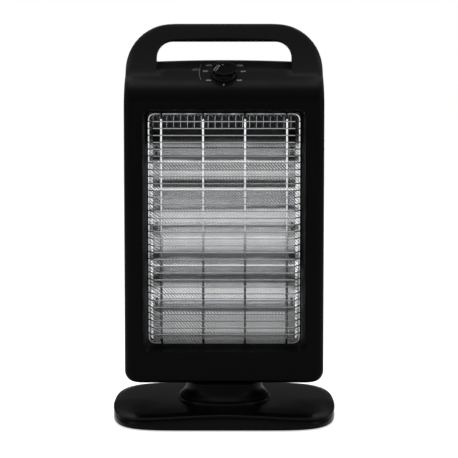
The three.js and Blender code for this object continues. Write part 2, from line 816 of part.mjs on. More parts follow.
function headStack(inset, cornerSteps, bottomAngles, panelAngles, topAngles) {
  const bottom = headBottom + inset;
  const top = headTop - inset;
  const [low, high] = [headBottomCorner - inset, headTopCorner - inset];
  const rise = (radius, angle) => radius * Math.sin(THREE.MathUtils.degToRad(angle));
  const heights = [
    ...bottomAngles.map((a) => bottom + low - rise(low, a)),
    ...panelAngles.map((a) => panelStart + rise(panelRadius - inset, a)),
    panelStart + creaseRise(inset),
    ...topAngles.map((a) => top - high + rise(high, a)),
  ];
  const levels = [...new Set(heights)].sort((a, b) => a - b);
  return loft(levels.map((z) => headLoop(z, inset, cornerSteps)));
}

// Profile under the top of the panel between the handle's legs, as points y, z
function panelFill(inset) {
  const radius = panelRadius - inset;
  const centre = headFront + panelRadius;
  const below = panelStart - panelRadius;
  const shelf = panelStart + panelRise - inset;
  return [
    point2(centre - radius, below),
    ...arcPoints(centre, panelStart, radius, 180, 180 - panelTilt, 6),
    point2(panelAt(panelRise - inset, inset), shelf),
    point2(headRear + overrun, shelf),
    point2(headRear + overrun, below),
  ].reverse();
}

function openingShape(grow) {
  const half = openingHalfWidth + grow;
  const top = openingTop + grow;
  const corner = openingCorner + grow;
  const start = panelStart + creaseRise(grow) + seatGap;
  return [
    point2(-half, start),
    point2(half, start),
    ...arcPoints(half - corner, top - corner, corner, 0, 90, 5),
    ...arcPoints(corner - half, top - corner, corner, 90, 180, 5),
  ];
}

function openingCut(grow) {
  const column = prismY(openingShape(grow), headFront - overrun, headRear + overrun);
  const reach = openingHalfWidth + grow + overrun;
  return cut(column, prismX(panelFill(grow), -reach, reach));
}

// Rounded rectangle in x and z, used for the window and its funnel
function windowLoop(y, half, bottom, top, corner) {
  const flat = [
    ...arcPoints(half - corner, bottom + corner, corner, -90, 0, 3),
    ...arcPoints(half - corner, top - corner, corner, 0, 90, 3),
    ...arcPoints(corner - half, top - corner, corner, 90, 180, 3),
    ...arcPoints(corner - half, bottom + corner, corner, 180, 270, 3),
  ];
  return flat.map((p) => point3(p.x, y, p.y)).reverse();
}

function funnelSolid(grow, front, rear) {
  const mouth = (y) =>
    windowLoop(y, windowHalfWidth + grow, windowBottom - grow, windowTop + grow, windowCorner + grow);
  const throat = (y) =>
    windowLoop(y, funnelHalfWidth + grow, funnelBottom - grow, funnelTop + grow, funnelCorner + grow);
  const stack = [mouth(front), mouth(headFront + plasticWall / 2), throat(funnelRear)];
  if (rear > funnelRear) stack.push(throat(rear));
  return loft(stack);
}

const holderFront = reflectorRim + sheetThickness + seatGap;
const housingScrews = [-1, 1].flatMap((side) =>
  housingScrewShares.map((share) => ({
    x: side * (headHalfWidth - housingScrewInset),
    z: headBottom + share * headHeight,
  })),
);
const posts = [-1, 1].flatMap((side) => [
  { x: side * (holderX + postOffset), z: holderBottom + postInset },
  { x: side * (holderX + postOffset), z: holderTop - postInset },
]);
const shieldFront = holderFront + holderDepth + seatGap;
const shieldRear = shieldFront + sheetThickness;
const shieldPosts = [-1, 1].flatMap((side) => [
  { x: side * (shieldHalfWidth - shieldPostInset.end), z: reflectorBottom + shieldPostInset.level },
  { x: side * (shieldHalfWidth - shieldPostInset.end), z: panelStart - shieldPostInset.level },
]);

const outerPanel = [0, 15, 30, 45, panelTilt];
const innerPanel = [0, 20, 40, panelTilt];
const headOuter = asSolid(
  headStack(0, 3, [90, 62, 32, 0], outerPanel, [0, 15, 30, 45, 60, 75, 90]),
);
const headInner = cut(
  headStack(plasticWall, 1, [90, 45, 0], innerPanel, [0, 35, 65, 90]),
  openingCut(plasticWall),
);
const headShell = cut(headOuter, openingCut(0), headInner);

// Control panel frame: the switch axis leaves the panel at right angles
const switchCentre = point3(0, panelAt(knobRise, 0), panelStart + knobRise);
const switchTurn = Math.PI / 2 - panelLean;

function alongSwitch(geometry) {
  return geometry.rotateX(switchTurn).translate(switchCentre.x, switchCentre.y, switchCentre.z);
}

function neckHoles(housing) {
  const [low, high] = [headBottom - overrun, headBottom + overrun * 2];
  return cut(housing, ...neckScrews.map(({ x, y }) => rodZ(screwHoleRadius, low, high, x, y, screwSides)));
}

function buildFrontHousing() {
  const half = headHalfWidth + overrun;
  const reach = block(-half, half, headFront - overrun, partingPlane - seatGap / 2, 0, headTop + overrun);
  let housing = common(headShell, reach);
  housing = cut(housing, funnelSolid(funnelWall / 2, headFront - overrun, 0));
  const funnelOuter = funnelSolid(funnelWall, headFront + plasticWall / 4, funnelRear);
  const funnel = cut(funnelOuter, funnelSolid(0, headFront - overrun, 0));
  housing = join(housing, common(funnel, headOuter));
  for (const { x, z } of housingScrews) {
    const boss = rodY(housingBossRadius, headFront, partingPlane - seatGap / 2, x, z, 10);
    housing = join(housing, common(boss, headOuter));
    const pilot = rodY(screwHoleRadius, partingPlane - screwBite - seatGap, partingPlane, x, z, screwSides);
    housing = cut(housing, pilot);
  }
  for (const { x, z } of posts) {
    housing = join(housing, rodY(postRadius, headFront + plasticWall / 2, holderFront - seatGap, x, z, 10));
  }
  const floor = [headBottom - overrun, headBottom + overrun * 2];
  const cable = rodZ(cableHoleRadius, ...floor, 0, -cableHoleSetback, 16);
  const sleeve = rodZ(switchBushRadius + seatGap, -plasticWall * 2, plasticWall * 2, 0, 0, 16);
  const bushHole = alongSwitch(sleeve);
  return cut(neckHoles(housing), cable, bushHole);
}

function ventRows(start, rows) {
  return Array.from({ length: rows }, (_, i) => start + i * ventPitch).flatMap((z) =>
    [-1, 1].map((side) =>
      block(
        side * ventColumn - ventWidth / 2, side * ventColumn + ventWidth / 2,
        headRear - plasticWall - overrun, headRear + overrun, z, z + ventHeight,
      ),
    ),
  );
}

const headSeat = partingPlane + seatGap / 2 + plasticWall * 2;

function buildRearHousing() {
  const half = headHalfWidth + overrun;
  const reach = block(-half, half, partingPlane + seatGap / 2, headRear + overrun, 0, headTop + overrun);
  let housing = common(headShell, reach);
  for (const { x, z } of housingScrews) {
    const boss = rodY(housingBossRadius, partingPlane + seatGap / 2, headRear, x, z, 10);
    housing = join(housing, common(boss, headOuter));
    housing = cut(
      housing,
      rodY(screwHoleRadius, partingPlane - overrun, headSeat + overrun, x, z, screwSides),
      rodY(screwHeadRadius + seatGap, headSeat, headRear + overrun, x, z, screwSides),
    );
  }
  for (const { x, z } of posts) {
    const tip = holderFront + sheetThickness + seatGap;
    housing = join(housing, rodY(postRadius, tip, headRear - plasticWall / 2, x, z, 10));
  }
  for (const { x, z } of shieldPosts) {
    housing = join(housing, rodY(postRadius, shieldRear + seatGap, headRear - plasticWall / 2, x, z, 10));
  }
  const upperVents = ventRows(panelStart - upperVentDrop, upperVentRows);
  const lowerVents = ventRows(headBottom + lowerVentRise, lowerVentRows);
  return neckHoles(cut(housing, ...upperVents, ...lowerVents));
}

// Guard: cross wires over uprights, both turned back and welded to a frame rod inside the funnel
const guardFront = headFront + guardSetback;
const guardFrame = guardFront + guardFrameSetback;
const guardSeatShare = (funnelRear - guardFrame - guardFrameRadius) / (funnelRear - headFront);
const guardFrameClear = seatGap + guardFrameRadius;
const guardFrameX = funnelHalfWidth + funnelDraft.side * guardSeatShare - guardFrameClear;
const guardFrameBottom = funnelBottom - funnelDraft.bottom * guardSeatShare + guardFrameClear;
const guardFrameTop = funnelTop + funnelDraft.top * guardSeatShare - guardFrameClear;
const guardWireHalfSpan = funnelHalfWidth - guardWireInset.side;
const guardWireTop = funnelTop - guardWireInset.top;
const guardWireBottom = funnelBottom + guardWireInset.bottom;
const guardWirePitch = (guardWireTop - guardWireBottom) / (guardWireCount - 1);
const guardUprightSpan = (guardWireHalfSpan - guardUprightInset) * 2;
const guardUprightPitch = guardUprightSpan / (guardUprights - 1);

function buildGuard() {
  const [x, low, high] = [guardFrameX, guardFrameBottom, guardFrameTop];
  const turn = windowCorner;
  const halfFrame = (side) => {
    const bends = [
      point2(-guardBend, low),
      ...arcPoints(x - turn, low + turn, turn, -90, 0, 3),
      ...arcPoints(x - turn, high - turn, turn, 0, 90, 3),
      point2(-guardBend, high),
    ];
    const path = bends.map((p) => point3(p.x * side, guardFrame, p.y));
    return wire(path, guardFrameRadius, guardWireSides);
  };
  let guard = join(halfFrame(-1), halfFrame(1));
  for (let i = 0; i < guardWireCount; i++) {
    const z = guardWireTop - i * guardWirePitch;
    const side = [
      point3(x, guardFrame, z),
      point3(guardWireHalfSpan + guardBend / 2, guardFront + guardBend / 2, z),
      point3(guardWireHalfSpan - guardBend / 2, guardFront, z),
    ];
    const mirrored = side.map((p) => point3(-p.x, p.y, p.z)).reverse();
    guard = join(guard, wire([...side, ...mirrored], guardWireRadius, guardWireSides));
  }
  const uprightY = guardFront + guardWireRadius + guardUprightRadius - guardWeld;
  for (let i = 0; i < guardUprights; i++) {
    const ux = (i - (guardUprights - 1) / 2) * guardUprightPitch;
    const points = [
      point3(ux, guardFrame, low),
      point3(ux, uprightY, low + guardFrameSetback / 2),
      point3(ux, uprightY, high - guardFrameSetback / 2),
      point3(ux, guardFrame, high),
    ];
    guard = join(guard, wire(points, guardUprightRadius, guardWireSides));
  }
  return guard;
}

// Reflector: three troughs with sloping ends and a flange that lies on the funnel
const reflectorBack = reflectorRim + troughDepth;

function troughProfile(shift, spread) {
  const wall = [];
  for (let i = 0; i < troughCount; i++) {
    troughHeightShares.forEach((share, k) => {
      const z = reflectorBottom + (i + share) * troughPitch;
      wall.push(point2(reflectorRim + troughDepth * troughDepthShares[k] + shift, z));
    });
  }
  wall.push(point2(reflectorRim + troughDepth * troughDepthShares[0] + shift, reflectorTop));
  wall[0].y -= spread;
  wall[wall.length - 1].y += spread;
  const front = reflectorRim - (spread ? 0 : overrun);
  return [
    point2(front, reflectorTop + spread),
    point2(front, reflectorBottom - spread),
    ...wall,
  ];
}

function endSlope(spread, y0) {
  const slope = reflectorEndSlope / troughDepth;
  const halfAt = (y) => reflectorHalfWidth + spread - (y - reflectorRim) * slope;
  const y1 = reflectorBack + overrun;
  const plan = [
    point2(-halfAt(y0), y0),
    point2(halfAt(y0), y0),
    point2(halfAt(y1), y1),
    point2(-halfAt(y1), y1),
  ];
  return prismZ(plan, reflectorBottom - overrun, reflectorTop + overrun);
}

const lampY = reflectorRim + lampSetback;
const lampHeights = Array.from(
  { length: troughCount },
  (_, i) => reflectorTop - (i + 0.5) * troughPitch,
);

function ventSlots() {
  const top = reflectorTop - reflectorVentWidth / 2;
  return Array.from({ length: reflectorVentCount }, (_, i) => {
    const x = (i - (reflectorVentCount - 1) / 2) * reflectorVentPitch;
    const radius = reflectorVentWidth / 2;
    const shape = [
      point2(x - radius, top - reflectorVentHeight),
      point2(x + radius, top - reflectorVentHeight),
      ...arcPoints(x, top - radius, radius, 0, 180, 4),
    ];
    return prismY(shape, reflectorRim + sheetThickness * 2, reflectorBack + overrun);
  });
}

function buildReflector() {
  const reach = reflectorHalfWidth + overrun;
  const t = sheetThickness;
  const outer = common(prismX(troughProfile(t, t), -reach, reach), endSlope(t, reflectorRim));
  const hollow = common(prismX(troughProfile(0, 0), -reach, reach), endSlope(0, reflectorRim - overrun));
  const half = reflectorHalfWidth + reflectorFlange;
  const flange = block(
    -half, half, reflectorRim, reflectorRim + t,
    reflectorBottom - reflectorFlange / 2, reflectorTop + reflectorFlange / 2,
  );
  let reflector = cut(join(outer, flange), hollow);
  const holeHalf = reflectorHalfWidth + overrun;
  for (const z of lampHeights) {
    reflector = cut(reflector, rodX(lampTubeRadius + runningGap, -holeHalf, holeHalf, lampY, z, 12));
  }
  return cut(reflector, ...ventSlots());
}

function buildHolder(side) {
  const [x0, x1] = [holderX, holderX + sheetThickness].map((x) => x * side).sort((a, b) => a - b);
  const [f0, f1] = [holderX, holderX + holderFlange].map((x) => x * side).sort((a, b) => a - b);
  const plate = block(x0, x1, holderFront, holderFront + holderDepth, holderBottom, holderTop);
  const flange = block(f0, f1, holderFront, holderFront + sheetThickness, holderBottom, holderTop);
  return lampHeights.reduce(
    (rest, z) => cut(rest, rodX(lampCapRadius + seatGap, x0 - overrun, x1 + overrun, lampY, z)),
    join(plate, flange),
  );
}

function buildTube(z) {
  const half = lampTubeHalfLength;
  return cut(
    rodX(lampTubeRadius, -half, half, lampY, z, 12),
    rodX(lampTubeRadius - lampTubeWall, -half - overrun, half + overrun, lampY, z, 12),
  );
}

function buildCap(side, z) {
  const ends = (a, b) => [a * side, b * side].sort((p, q) => p - q);
  const [c0, c1] = ends(lampCapStart, lampCapStart + lampCapLength);
  const [b0, b1] = ends(lampCapStart - overrun, lampTubeHalfLength + seatGap);
  const bore = rodX(lampTubeRadius + seatGap, b0, b1, lampY, z, 12);
  return cut(rodX(lampCapRadius, c0, c1, lampY, z, 12), bore);
}

function buildFilament(z) {
  const half = lampTubeHalfLength - seatGap;
  const core = rodX(filamentRadius, -half, half, lampY, z, 6);
  const reach = lampTubeRadius - lampTubeWall - seatGap;
  const supports = Array.from({ length: filamentSupports }, (_, i) => {
    const x = (i - (filamentSupports - 1) / 2) * filamentSupportPitch;
    return rodX(reach, x - filamentSupportThickness / 2, x + filamentSupportThickness / 2, lampY, z, 8);
  });
  return join(core, ...supports);
}

// Leads run beside the lamp caps and up to the switch
const leadX = lampCapStart + lampCapLength + seatGap + leadRadius;

function buildLead(side) {
  const terminal = point3(switchWidth / 2 + seatGap, 0, switchTop - switchDepth / 2);
  terminal.applyAxisAngle(point3(1, 0, 0), switchTurn).add(switchCentre);
  const low = lampHeights[troughCount - 1] - leadBottomInset;
  const shoulderX = leadX - leadShoulder.inset;
  const points = [
    point3(leadX, lampY, low),
    point3(leadX, lampY, panelStart + leadTurnRise),
    point3(shoulderX, (lampY + terminal.y) / 2, panelStart + leadShoulder.rise),
    point3(shoulderX / 2, terminal.y, terminal.z),
    terminal,
  ].map((p) => p.setX(p.x * side));
  return wire(points, leadRadius, leadSides);
}

// The switch lies flat under the panel and reaches down to where it bends, so its face drops by that bend
const panelInnerRadius = panelRadius - plasticWall;
const straightReach = (knobRise - arcRiseAt(0)) / Math.cos(panelLean);
const bentReach = Math.max(switchWidth / 2 - straightReach, 0);
const switchDrop = panelInnerRadius - Math.sqrt(panelInnerRadius ** 2 - bentReach ** 2);
const switchTop = -plasticWall - switchDrop - seatGap - switchCover;

function buildSwitch() {
  const [top, half] = [switchTop, switchWidth / 2];
  const body = block(-half, half, -half, half, top - switchDepth, top);
  const sleeve = rodZ(switchBushRadius, top - sheetThickness, sheetThickness, 0, 0, 16);
  const bore = rodZ(spindleRadius + seatGap, -spindleDepth - seatGap, overrun, 0, 0, 12);
  return cut(join(body, sleeve), bore);
}

const knobBottom = sheetThickness + seatGap;

function buildKnob() {
  const top = knobBottom + knobHeight;
  const profile = [
    point2(0, knobBottom),
    point2(knobSkirtRadius, knobBottom),
    point2(knobSkirtRadius - sheetThickness / 2, knobBottom + knobSkirtHeight),
    point2(knobGripRadius, knobBottom + knobSkirtHeight + sheetThickness / 2),
    point2(knobGripRadius - sheetThickness / 2, top - sheetThickness),
    point2(knobFaceRadius, top),
    point2(0, top),
  ];
  const body = new THREE.LatheGeometry(profile, 24).rotateX(Math.PI / 2);
  let knob = asSolid(body);
  for (let i = 0; i < knobLobes; i++) {
    const angle = (2 * Math.PI * (i + 0.5)) / knobLobes;
    const reach = knobGripRadius + knobGrooveRadius - knobLobeDepth;
    const groove = rodZ(
      knobGrooveRadius, knobBottom + knobSkirtHeight + sheetThickness, top + overrun,
      reach * Math.cos(angle), reach * Math.sin(angle), 12,
    );
    knob = cut(knob, groove);
  }
  const { length, width, height } = knobPointer;
  const ridge = block(
    knobFaceRadius - length - width, knobFaceRadius - width, -width / 2, width / 2,
    top - height, top + height,
  ).rotateZ(THREE.MathUtils.degToRad(knobPointerAngle));
  const bore = rodZ(spindleRadius + seatGap, 0, spindleReach + seatGap, 0, 0, 12);
  return cut(join(knob, ridge), bore);
}

function addHead() {
  addPiece('front_housing', buildFrontHousing(), blackPlastic());
  addPiece('rear_housing', buildRearHousing(), blackPlastic());
  housingScrews.forEach(({ x, z }, i) => {
    const shape = screwShape(0, headSeat - partingPlane + screwBite);
    const screw = addPiece(`housing_screw_${i + 1}`, shape, zincSteel());
    screw.rotation.x = Math.PI / 2;
    screw.position.set(x, headSeat + seatGap, z);
  });
  addPiece('wire_guard', buildGuard(), chromedSteel());
  addPiece('reflector', buildReflector(), brightAluminium());
  addPiece('lamp_holder_left', buildHolder(-1), zincSteel());
  addPiece('lamp_holder_right', buildHolder(1), zincSteel());
  lampHeights.forEach((z, i) => {
    addPiece(`quartz_tube_${i + 1}`, buildTube(z), quartz());
    addPiece(`filament_${i + 1}`, buildFilament(z), tungsten());
    addPiece(`lamp_cap_left_${i + 1}`, buildCap(-1, z), ceramicWhite());
    addPiece(`lamp_cap_right_${i + 1}`, buildCap(1, z), ceramicWhite());
  });
  const half = shieldHalfWidth;
  const shield = block(-half, half, shieldFront, shieldRear, holderBottom, holderTop);
  addPiece('heat_shield', shield, zincSteel());
  const [front, level] = [shieldRear + seatGap, panelStart - cutoutDrop];
  addPiece('thermal_cutout', rodY(cutoutRadius, front, front + cutoutHeight, 0, level, 16), zincSteel());
  addPiece('lead_left', buildLead(-1), rubber());
  addPiece('lead_right', buildLead(1), rubber());
}

function addControl() {
  const panel = new THREE.Group();
  panel.position.copy(switchCentre);
  panel.rotation.x = switchTurn;
  heater.add(panel);
  addPiece('rotary_switch', buildSwitch(), whitePlastic(), panel);
  const spindle = rodZ(spindleRadius, -spindleDepth, spindleReach, 0, 0, 12);
  addPiece('switch_spindle', spindle, zincSteel(), panel);
  addPiece('control_knob', buildKnob(), blackPlastic(), panel);
}

addBase();
addSwivel();
addHead();
addControl();

export default heater;
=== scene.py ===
"""Looks of a free-standing quartz infrared heater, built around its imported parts, in metres, +Z up."""

import json
from math import atan2, cos, pi, radians, sin, sqrt, tan

import bmesh
import bpy
from mathutils import Matrix, Vector


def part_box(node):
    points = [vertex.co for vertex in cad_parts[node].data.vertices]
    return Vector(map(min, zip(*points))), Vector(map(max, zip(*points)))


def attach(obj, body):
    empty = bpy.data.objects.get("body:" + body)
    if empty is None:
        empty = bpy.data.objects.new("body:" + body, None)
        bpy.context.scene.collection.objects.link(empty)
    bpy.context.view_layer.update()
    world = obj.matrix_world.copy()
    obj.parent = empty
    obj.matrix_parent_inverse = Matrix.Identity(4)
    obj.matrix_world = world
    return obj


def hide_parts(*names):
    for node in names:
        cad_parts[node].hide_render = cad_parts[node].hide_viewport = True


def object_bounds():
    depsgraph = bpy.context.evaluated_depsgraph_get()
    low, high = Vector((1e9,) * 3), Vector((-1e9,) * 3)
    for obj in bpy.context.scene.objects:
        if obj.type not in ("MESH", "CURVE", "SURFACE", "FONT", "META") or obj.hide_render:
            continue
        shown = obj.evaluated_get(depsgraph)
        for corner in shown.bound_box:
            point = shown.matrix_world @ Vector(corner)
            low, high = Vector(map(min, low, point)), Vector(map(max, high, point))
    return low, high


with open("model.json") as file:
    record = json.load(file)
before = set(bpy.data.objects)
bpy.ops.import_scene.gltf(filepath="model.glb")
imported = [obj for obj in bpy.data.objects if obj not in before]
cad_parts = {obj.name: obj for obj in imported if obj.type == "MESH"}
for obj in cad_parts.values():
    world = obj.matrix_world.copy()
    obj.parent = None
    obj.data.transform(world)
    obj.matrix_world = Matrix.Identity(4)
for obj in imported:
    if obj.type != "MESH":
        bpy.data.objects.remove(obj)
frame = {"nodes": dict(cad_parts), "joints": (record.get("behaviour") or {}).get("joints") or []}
cad_low, cad_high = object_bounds()

MM = 0.001

# Head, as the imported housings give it
front_low, front_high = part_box("front_housing")
rear_low, rear_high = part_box("rear_housing")
HEAD_HALF = front_high.x
HEAD_FRONT = front_low.y
HEAD_REAR = rear_high.y
HEAD_BOTTOM = front_low.z
HEAD_TOP = front_high.z
PARTING = (front_high.y + rear_low.y) / 2
PARTING_GAP = 0.04 * MM
SEAM_WIDTH = 0.5 * MM
SEAM_DEPTH = 1 * MM
WALL = 2.5 * MM
LEAST_RISE = 0.25 * MM
BOTTOM_CORNER = 16 * MM
TOP_CORNER = 63.5 * MM
PANEL_START = HEAD_TOP - 117 * MM
PANEL_RADIUS = 51 * MM
PANEL_TILT = radians(55.4)
PANEL_RISE = 67 * MM
HANDLE_FRONT = -10 * MM
HANDLE_REAR = 35 * MM
FOOT_FILLET = 26 * MM
REAR_BEND_START = PANEL_START + 9 * MM
REAR_BEND_END = HEAD_TOP - 33 * MM
FRONT_EDGE = 11 * MM
REAR_EDGE = 17 * MM
END_EDGE = 5 * MM

# Handle opening
OPENING_HALF = HEAD_HALF - 43.2 * MM
OPENING_TOP = HEAD_TOP - 24.5 * MM
OPENING_CORNER = 22 * MM
OPENING_BEVEL = {"depth": 5 * MM, "side": 1.2 * MM, "middle": 5.2 * MM}
OPENING_ROUND = 5 * MM
OPENING_DRAFT = 0.1
OPENING_LIFT = 0.03 * MM
COVE_WIDTH = 15 * MM
COVE_FADE = 9 * MM
SHELF_EDGE = 5 * MM
SHELF_CROWN = 1.8 * MM
SHELF_ROUND = 2.2 * MM
CROWN_STEPS = 28

# Window and funnel
WINDOW_HALF = HEAD_HALF - 25.5 * MM
WINDOW_BOTTOM = HEAD_BOTTOM + 42 * MM
WINDOW_TOP = PANEL_START
WINDOW_CORNER = 9.5 * MM
WINDOW_LIP = 1.2 * MM
FUNNEL_DRAFT = {"side": 5.3 * MM, "bottom": 8 * MM, "top": 3.5 * MM}
FUNNEL_CORNER = 6 * MM
FUNNEL_REAR = -13.3 * MM
FUNNEL_WALL = 2.2 * MM
FUNNEL_START = 0.6 * MM

# Vents and screws in the rear housing
VENT_HALF_WIDTH = 38 * MM
VENT_HEIGHT = 4 * MM
VENT_PITCH = 10 * MM
VENT_COLUMN = 50 * MM
VENT_ROWS = {"upper": (PANEL_START - 55 * MM, 7), "lower": (HEAD_BOTTOM + 18.5 * MM, 3)}
SCREW_BOSS = 4.5 * MM
SCREW_BOSS_LENGTH = 18 * MM
SCREW_HOLE = 1.6 * MM
SCREW_HOLE_LENGTH = 14 * MM
SCREW_SINK = 3.1 * MM
SCREW_SEAT = PARTING + 5.15 * MM
CUT = 3 * MM

# Wire guard
GUARD_WIRE = 0.85 * MM
GUARD_UPRIGHT = 1.6 * MM
GUARD_FRAME = 1.75 * MM
GUARD_WIRES = 32
GUARD_UPRIGHTS = 4
GUARD_FRONT = HEAD_FRONT + 7 * MM
GUARD_BACK = GUARD_FRONT + 16 * MM
GUARD_SPAN = 96 * MM
GUARD_BEND = 3.5 * MM
GUARD_SINK = 0.5 * MM
GUARD_TOP = 405 * MM
GUARD_PITCH = 9.306 * MM
GUARD_UPRIGHT_SPAN = 84.75 * MM

# Reflector
RIM = -13 * MM
TROUGHS = 3
TROUGH_BOTTOM = 103.5 * MM
TROUGH_TOP = 417 * MM
TROUGH_PITCH = (TROUGH_TOP - TROUGH_BOTTOM) / TROUGHS
TROUGH_DEPTH = 30 * MM
TROUGH_HALF = 97.5 * MM
END_SLOPE = 11.5 / 30
REFLECTOR_FLANGE = 6 * MM
REFLECTOR_TOP = TROUGH_TOP + 4.5 * MM
REFLECTOR_BOTTOM = TROUGH_BOTTOM - 4.5 * MM
FLANGE_BEND = 1 * MM
SHEET = 0.7 * MM
EMBOSS_HEIGHT = 0.24 * MM
EMBOSS_PITCH = 4.3 * MM
# Painted shade between the embossed ribs: the darkest share of the sheet's colour there
EMBOSS_PAINTED_SHADE = 0.3
SLOT_COUNT = 21
SLOT_PITCH = 9.45 * MM
SLOT_RADIUS = 3 * MM
SLOT_HEIGHT = 18 * MM
VENT_STRIP = 20.5 * MM
HEM_RANGE = (205 * MM, 385 * MM)
HEM_RISE = 3.2 * MM
HEM_STEP = 0.1 * MM

# Folds of a trough from its top edge down: share of its height, depth behind the rim in millimetres
TROUGH_FOLDS = [
    (0, 4.2), (0.1, 15), (0.26, 28.3), (0.3, 29.3), (0.48, 21.5), (0.53, 21.8), (0.66, 28.8), (0.7, 29.2),
    (0.86, 21), (0.93, 19.5), (1, 4.2),
]
TOP_TROUGH_FOLDS = [
    (0, 5), (0.2, 7.5), (0.27, 17), (0.36, 27), (0.41, 29), (0.57, 24.5), (0.6, 24.6), (0.66, 28.5),
    (0.79, 21), (0.88, 19), (1, 4.2),
]
FOLD_ROUND = 2.6 * MM
SLOT_LIP = 0.4 * MM
SLOT_LIP_RISE = 14 * MM
SHEET_ROW = 0.85 * MM
SHEET_COLUMNS = 260

# Lamps
LAMP_Y = -1 * MM
LAMP_HEIGHTS = [TROUGH_TOP - (i + 0.5) * TROUGH_PITCH for i in range(TROUGHS)]
TUBE_RADIUS = 5.5 * MM
TUBE_WALL = 1.2 * MM
TUBE_HALF = 107 * MM
COIL_RADIUS = 1.1 * MM
COIL_WIRE = 0.28 * MM
COIL_PITCH = 1.9 * MM
COIL_HALF = 94 * MM
COIL_SUPPORTS = 7
SUPPORT_WIRE = 0.2 * MM
LAMP_HOLE_GAP = 0.6 * MM

# Base
BASE_HALF_WIDTH = cad_high.x
BASE_HALF_DEPTH = cad_high.y
BASE_POWERS = (6.3, 2.6)
BASE_BOTTOM = 1.4 * MM
RIM_FRONT = 24.7 * MM
RIM_SIDE = 16 * MM
RIM_FALL = 1.4
RIM_LIFT = 7.5 * MM
LIFT_RANGE = (-95 * MM, -10 * MM)
RIM_ROLL = 3.4 * MM
RIM_SHOULDER = {"width": 13 * MM, "drop": 2.2 * MM}
COLLAR_RADIUS = 63.5 * MM
COLLAR_FOOT = 24 * MM
COLLAR_TOP = 27.5 * MM
COLLAR_HOLE = 36.5 * MM
COLLAR_EDGE = 1.6 * MM
CORD_BUSH_LIP = 1.2 * MM
PLAN_POINTS = 240
PLAN_STEPS = 40

# Foot of the base's side, in mm: inset, share of the rim's height, rise above that
BASE_FOOT = [(1.6, 0, 0), (0.8, 0, 0.6), (0.3, 0, 2), (0.2, 0.3, 0)]
# Groove under the rim's roll, in mm: inset, drop
GROOVE = [(0.7, 4.6), (1.2, 3.2), (1.87, 2.2), (2.2, 1.5), (1.76, 0.9), (0.6, 0.3)]
GROOVE_DEPTH = 2.2 * MM

# Neck. Its outline, in mm, out from the flare's edge and up from its seat, then from the wall and its top
NECK_FLARE = 5.5 * MM
NECK_HEIGHT = 22.3 * MM
SPIGOT_RADIUS = 36 * MM
SPIGOT_BORE = 31 * MM
NECK_FOOT = [
    (-1.9, 0), (-1.9, -1), (-0.4, -1), (0, -0.6), (0, 0.8), (-0.4, 1.4), (-3.2, 4), (-5.4, 6.2), (-7, 8.4),
]
NECK_EDGE = [(0, -4), (-0.8, -2), (-2.6, -0.7), (-5, 0)]

# Knob. Its side, in mm: height, radius, depth of the scallops. Its dished face: radius, height
KNOB_LOBES = 6
KNOB_BOTTOM = 1.5 * MM
KNOB_SIDE = [
    (0, 17.7, 0), (0.3, 18.1, 0), (1.4, 18, 0), (2, 17.6, 0), (2.3, 16.9, 0), (2.6, 16.1, 0.2),
    (3.2, 15.8, 1.2), (4.2, 15.7, 2.2), (5.8, 15.7, 2.7), (7.4, 15.9, 2.4), (8.6, 16.2, 1.4),
    (9.4, 16.6, 0.4), (9.9, 16.8, 0), (10.4, 16.8, 0), (10.8, 16.5, 0), (11, 15.9, 0),
]
KNOB_DISH = [(15, 10.9), (13.2, 10.6), (9, 10.4), (4, 10.3), (0.5, 10.3)]
KNOB_TICK = [(-2.9, 8.2), (-2, 7), (-0.6, 9.2)]
POINTER_ANGLE = radians(66)
POINTER = {"centre": Vector((-9.8 * MM, 0, 0)), "half_length": 7.2 * MM, "half_width": 1.7 * MM}

# Words with their places on the panel, across and up from the knob's axis, in millimetres
DIAL_LABELS = [
    ("1200", -21.5, 24.5), ("800", -25.5, 10), ("400", -21, -12.5), ("0", -0.5, -21.5),
    ("400", 20.5, -12.5), ("800", 26, 9.5), ("1200", 21.5, 24),
]
LABEL_SIZE = 4.4 * MM
LABEL_WIDTH = 1.05
LABEL_RISE = 0.2 * MM
PRINT_LINE = 0.2 * MM
BRACKET = {"x": -31.5 * MM, "bow": 2.2 * MM, "half": 19 * MM, "up": 8.5 * MM}
# The sign for turning: across, up, half width, half height
SWING_SIGN = (-38 * MM, 13 * MM, 4.6 * MM, 3.2 * MM)

# The camera stands where the photograph's did
CAMERA_PLACE = Vector((0.007, -1.645, 0.405))
CAMERA_LENS = 94
CAMERA_PITCH = radians(-3)
CAMERA_SHIFT = (-0.0006, -0.098)

# Strength of the world on the object, and what the floor adds to its shade where it is seen
WORLD_LIGHT = 0.55
FLOOR_WHITE = 0.6
FLOOR_HALF = 6

# The panel's arc ends where its straight slope begins
PANEL_CENTRE_Y = HEAD_FRONT + PANEL_RADIUS
SLOPE_Y = PANEL_CENTRE_Y - PANEL_RADIUS * cos(PANEL_TILT)
SLOPE_Z = PANEL_START + PANEL_RADIUS * sin(PANEL_TILT)
SHELF_Z = PANEL_START + PANEL_RISE
SHELF_Y = SLOPE_Y + (SHELF_Z - SLOPE_Z) * tan(PANEL_TILT)


# Meshes

def add_object(name, data):
    made = bpy.data.objects.new(name, data)
    bpy.context.scene.collection.objects.link(made)
    return made


def make_piece(name, parts):
    """One mesh from parts, each a pair of vertices and faces."""
    vertices, faces = [], []
    for part_vertices, part_faces in parts:
        start = len(vertices)
        vertices.extend(tuple(point) for point in part_vertices)
        faces.extend(tuple(start + i for i in face) for face in part_faces)
    mesh = bpy.data.meshes.new(name)
    mesh.from_pydata(vertices, [], faces)
    work = bmesh.new()
    work.from_mesh(mesh)
    bmesh.ops.recalc_face_normals(work, faces=work.faces)
    work.to_mesh(mesh)
    work.free()
    return add_object(name, mesh)


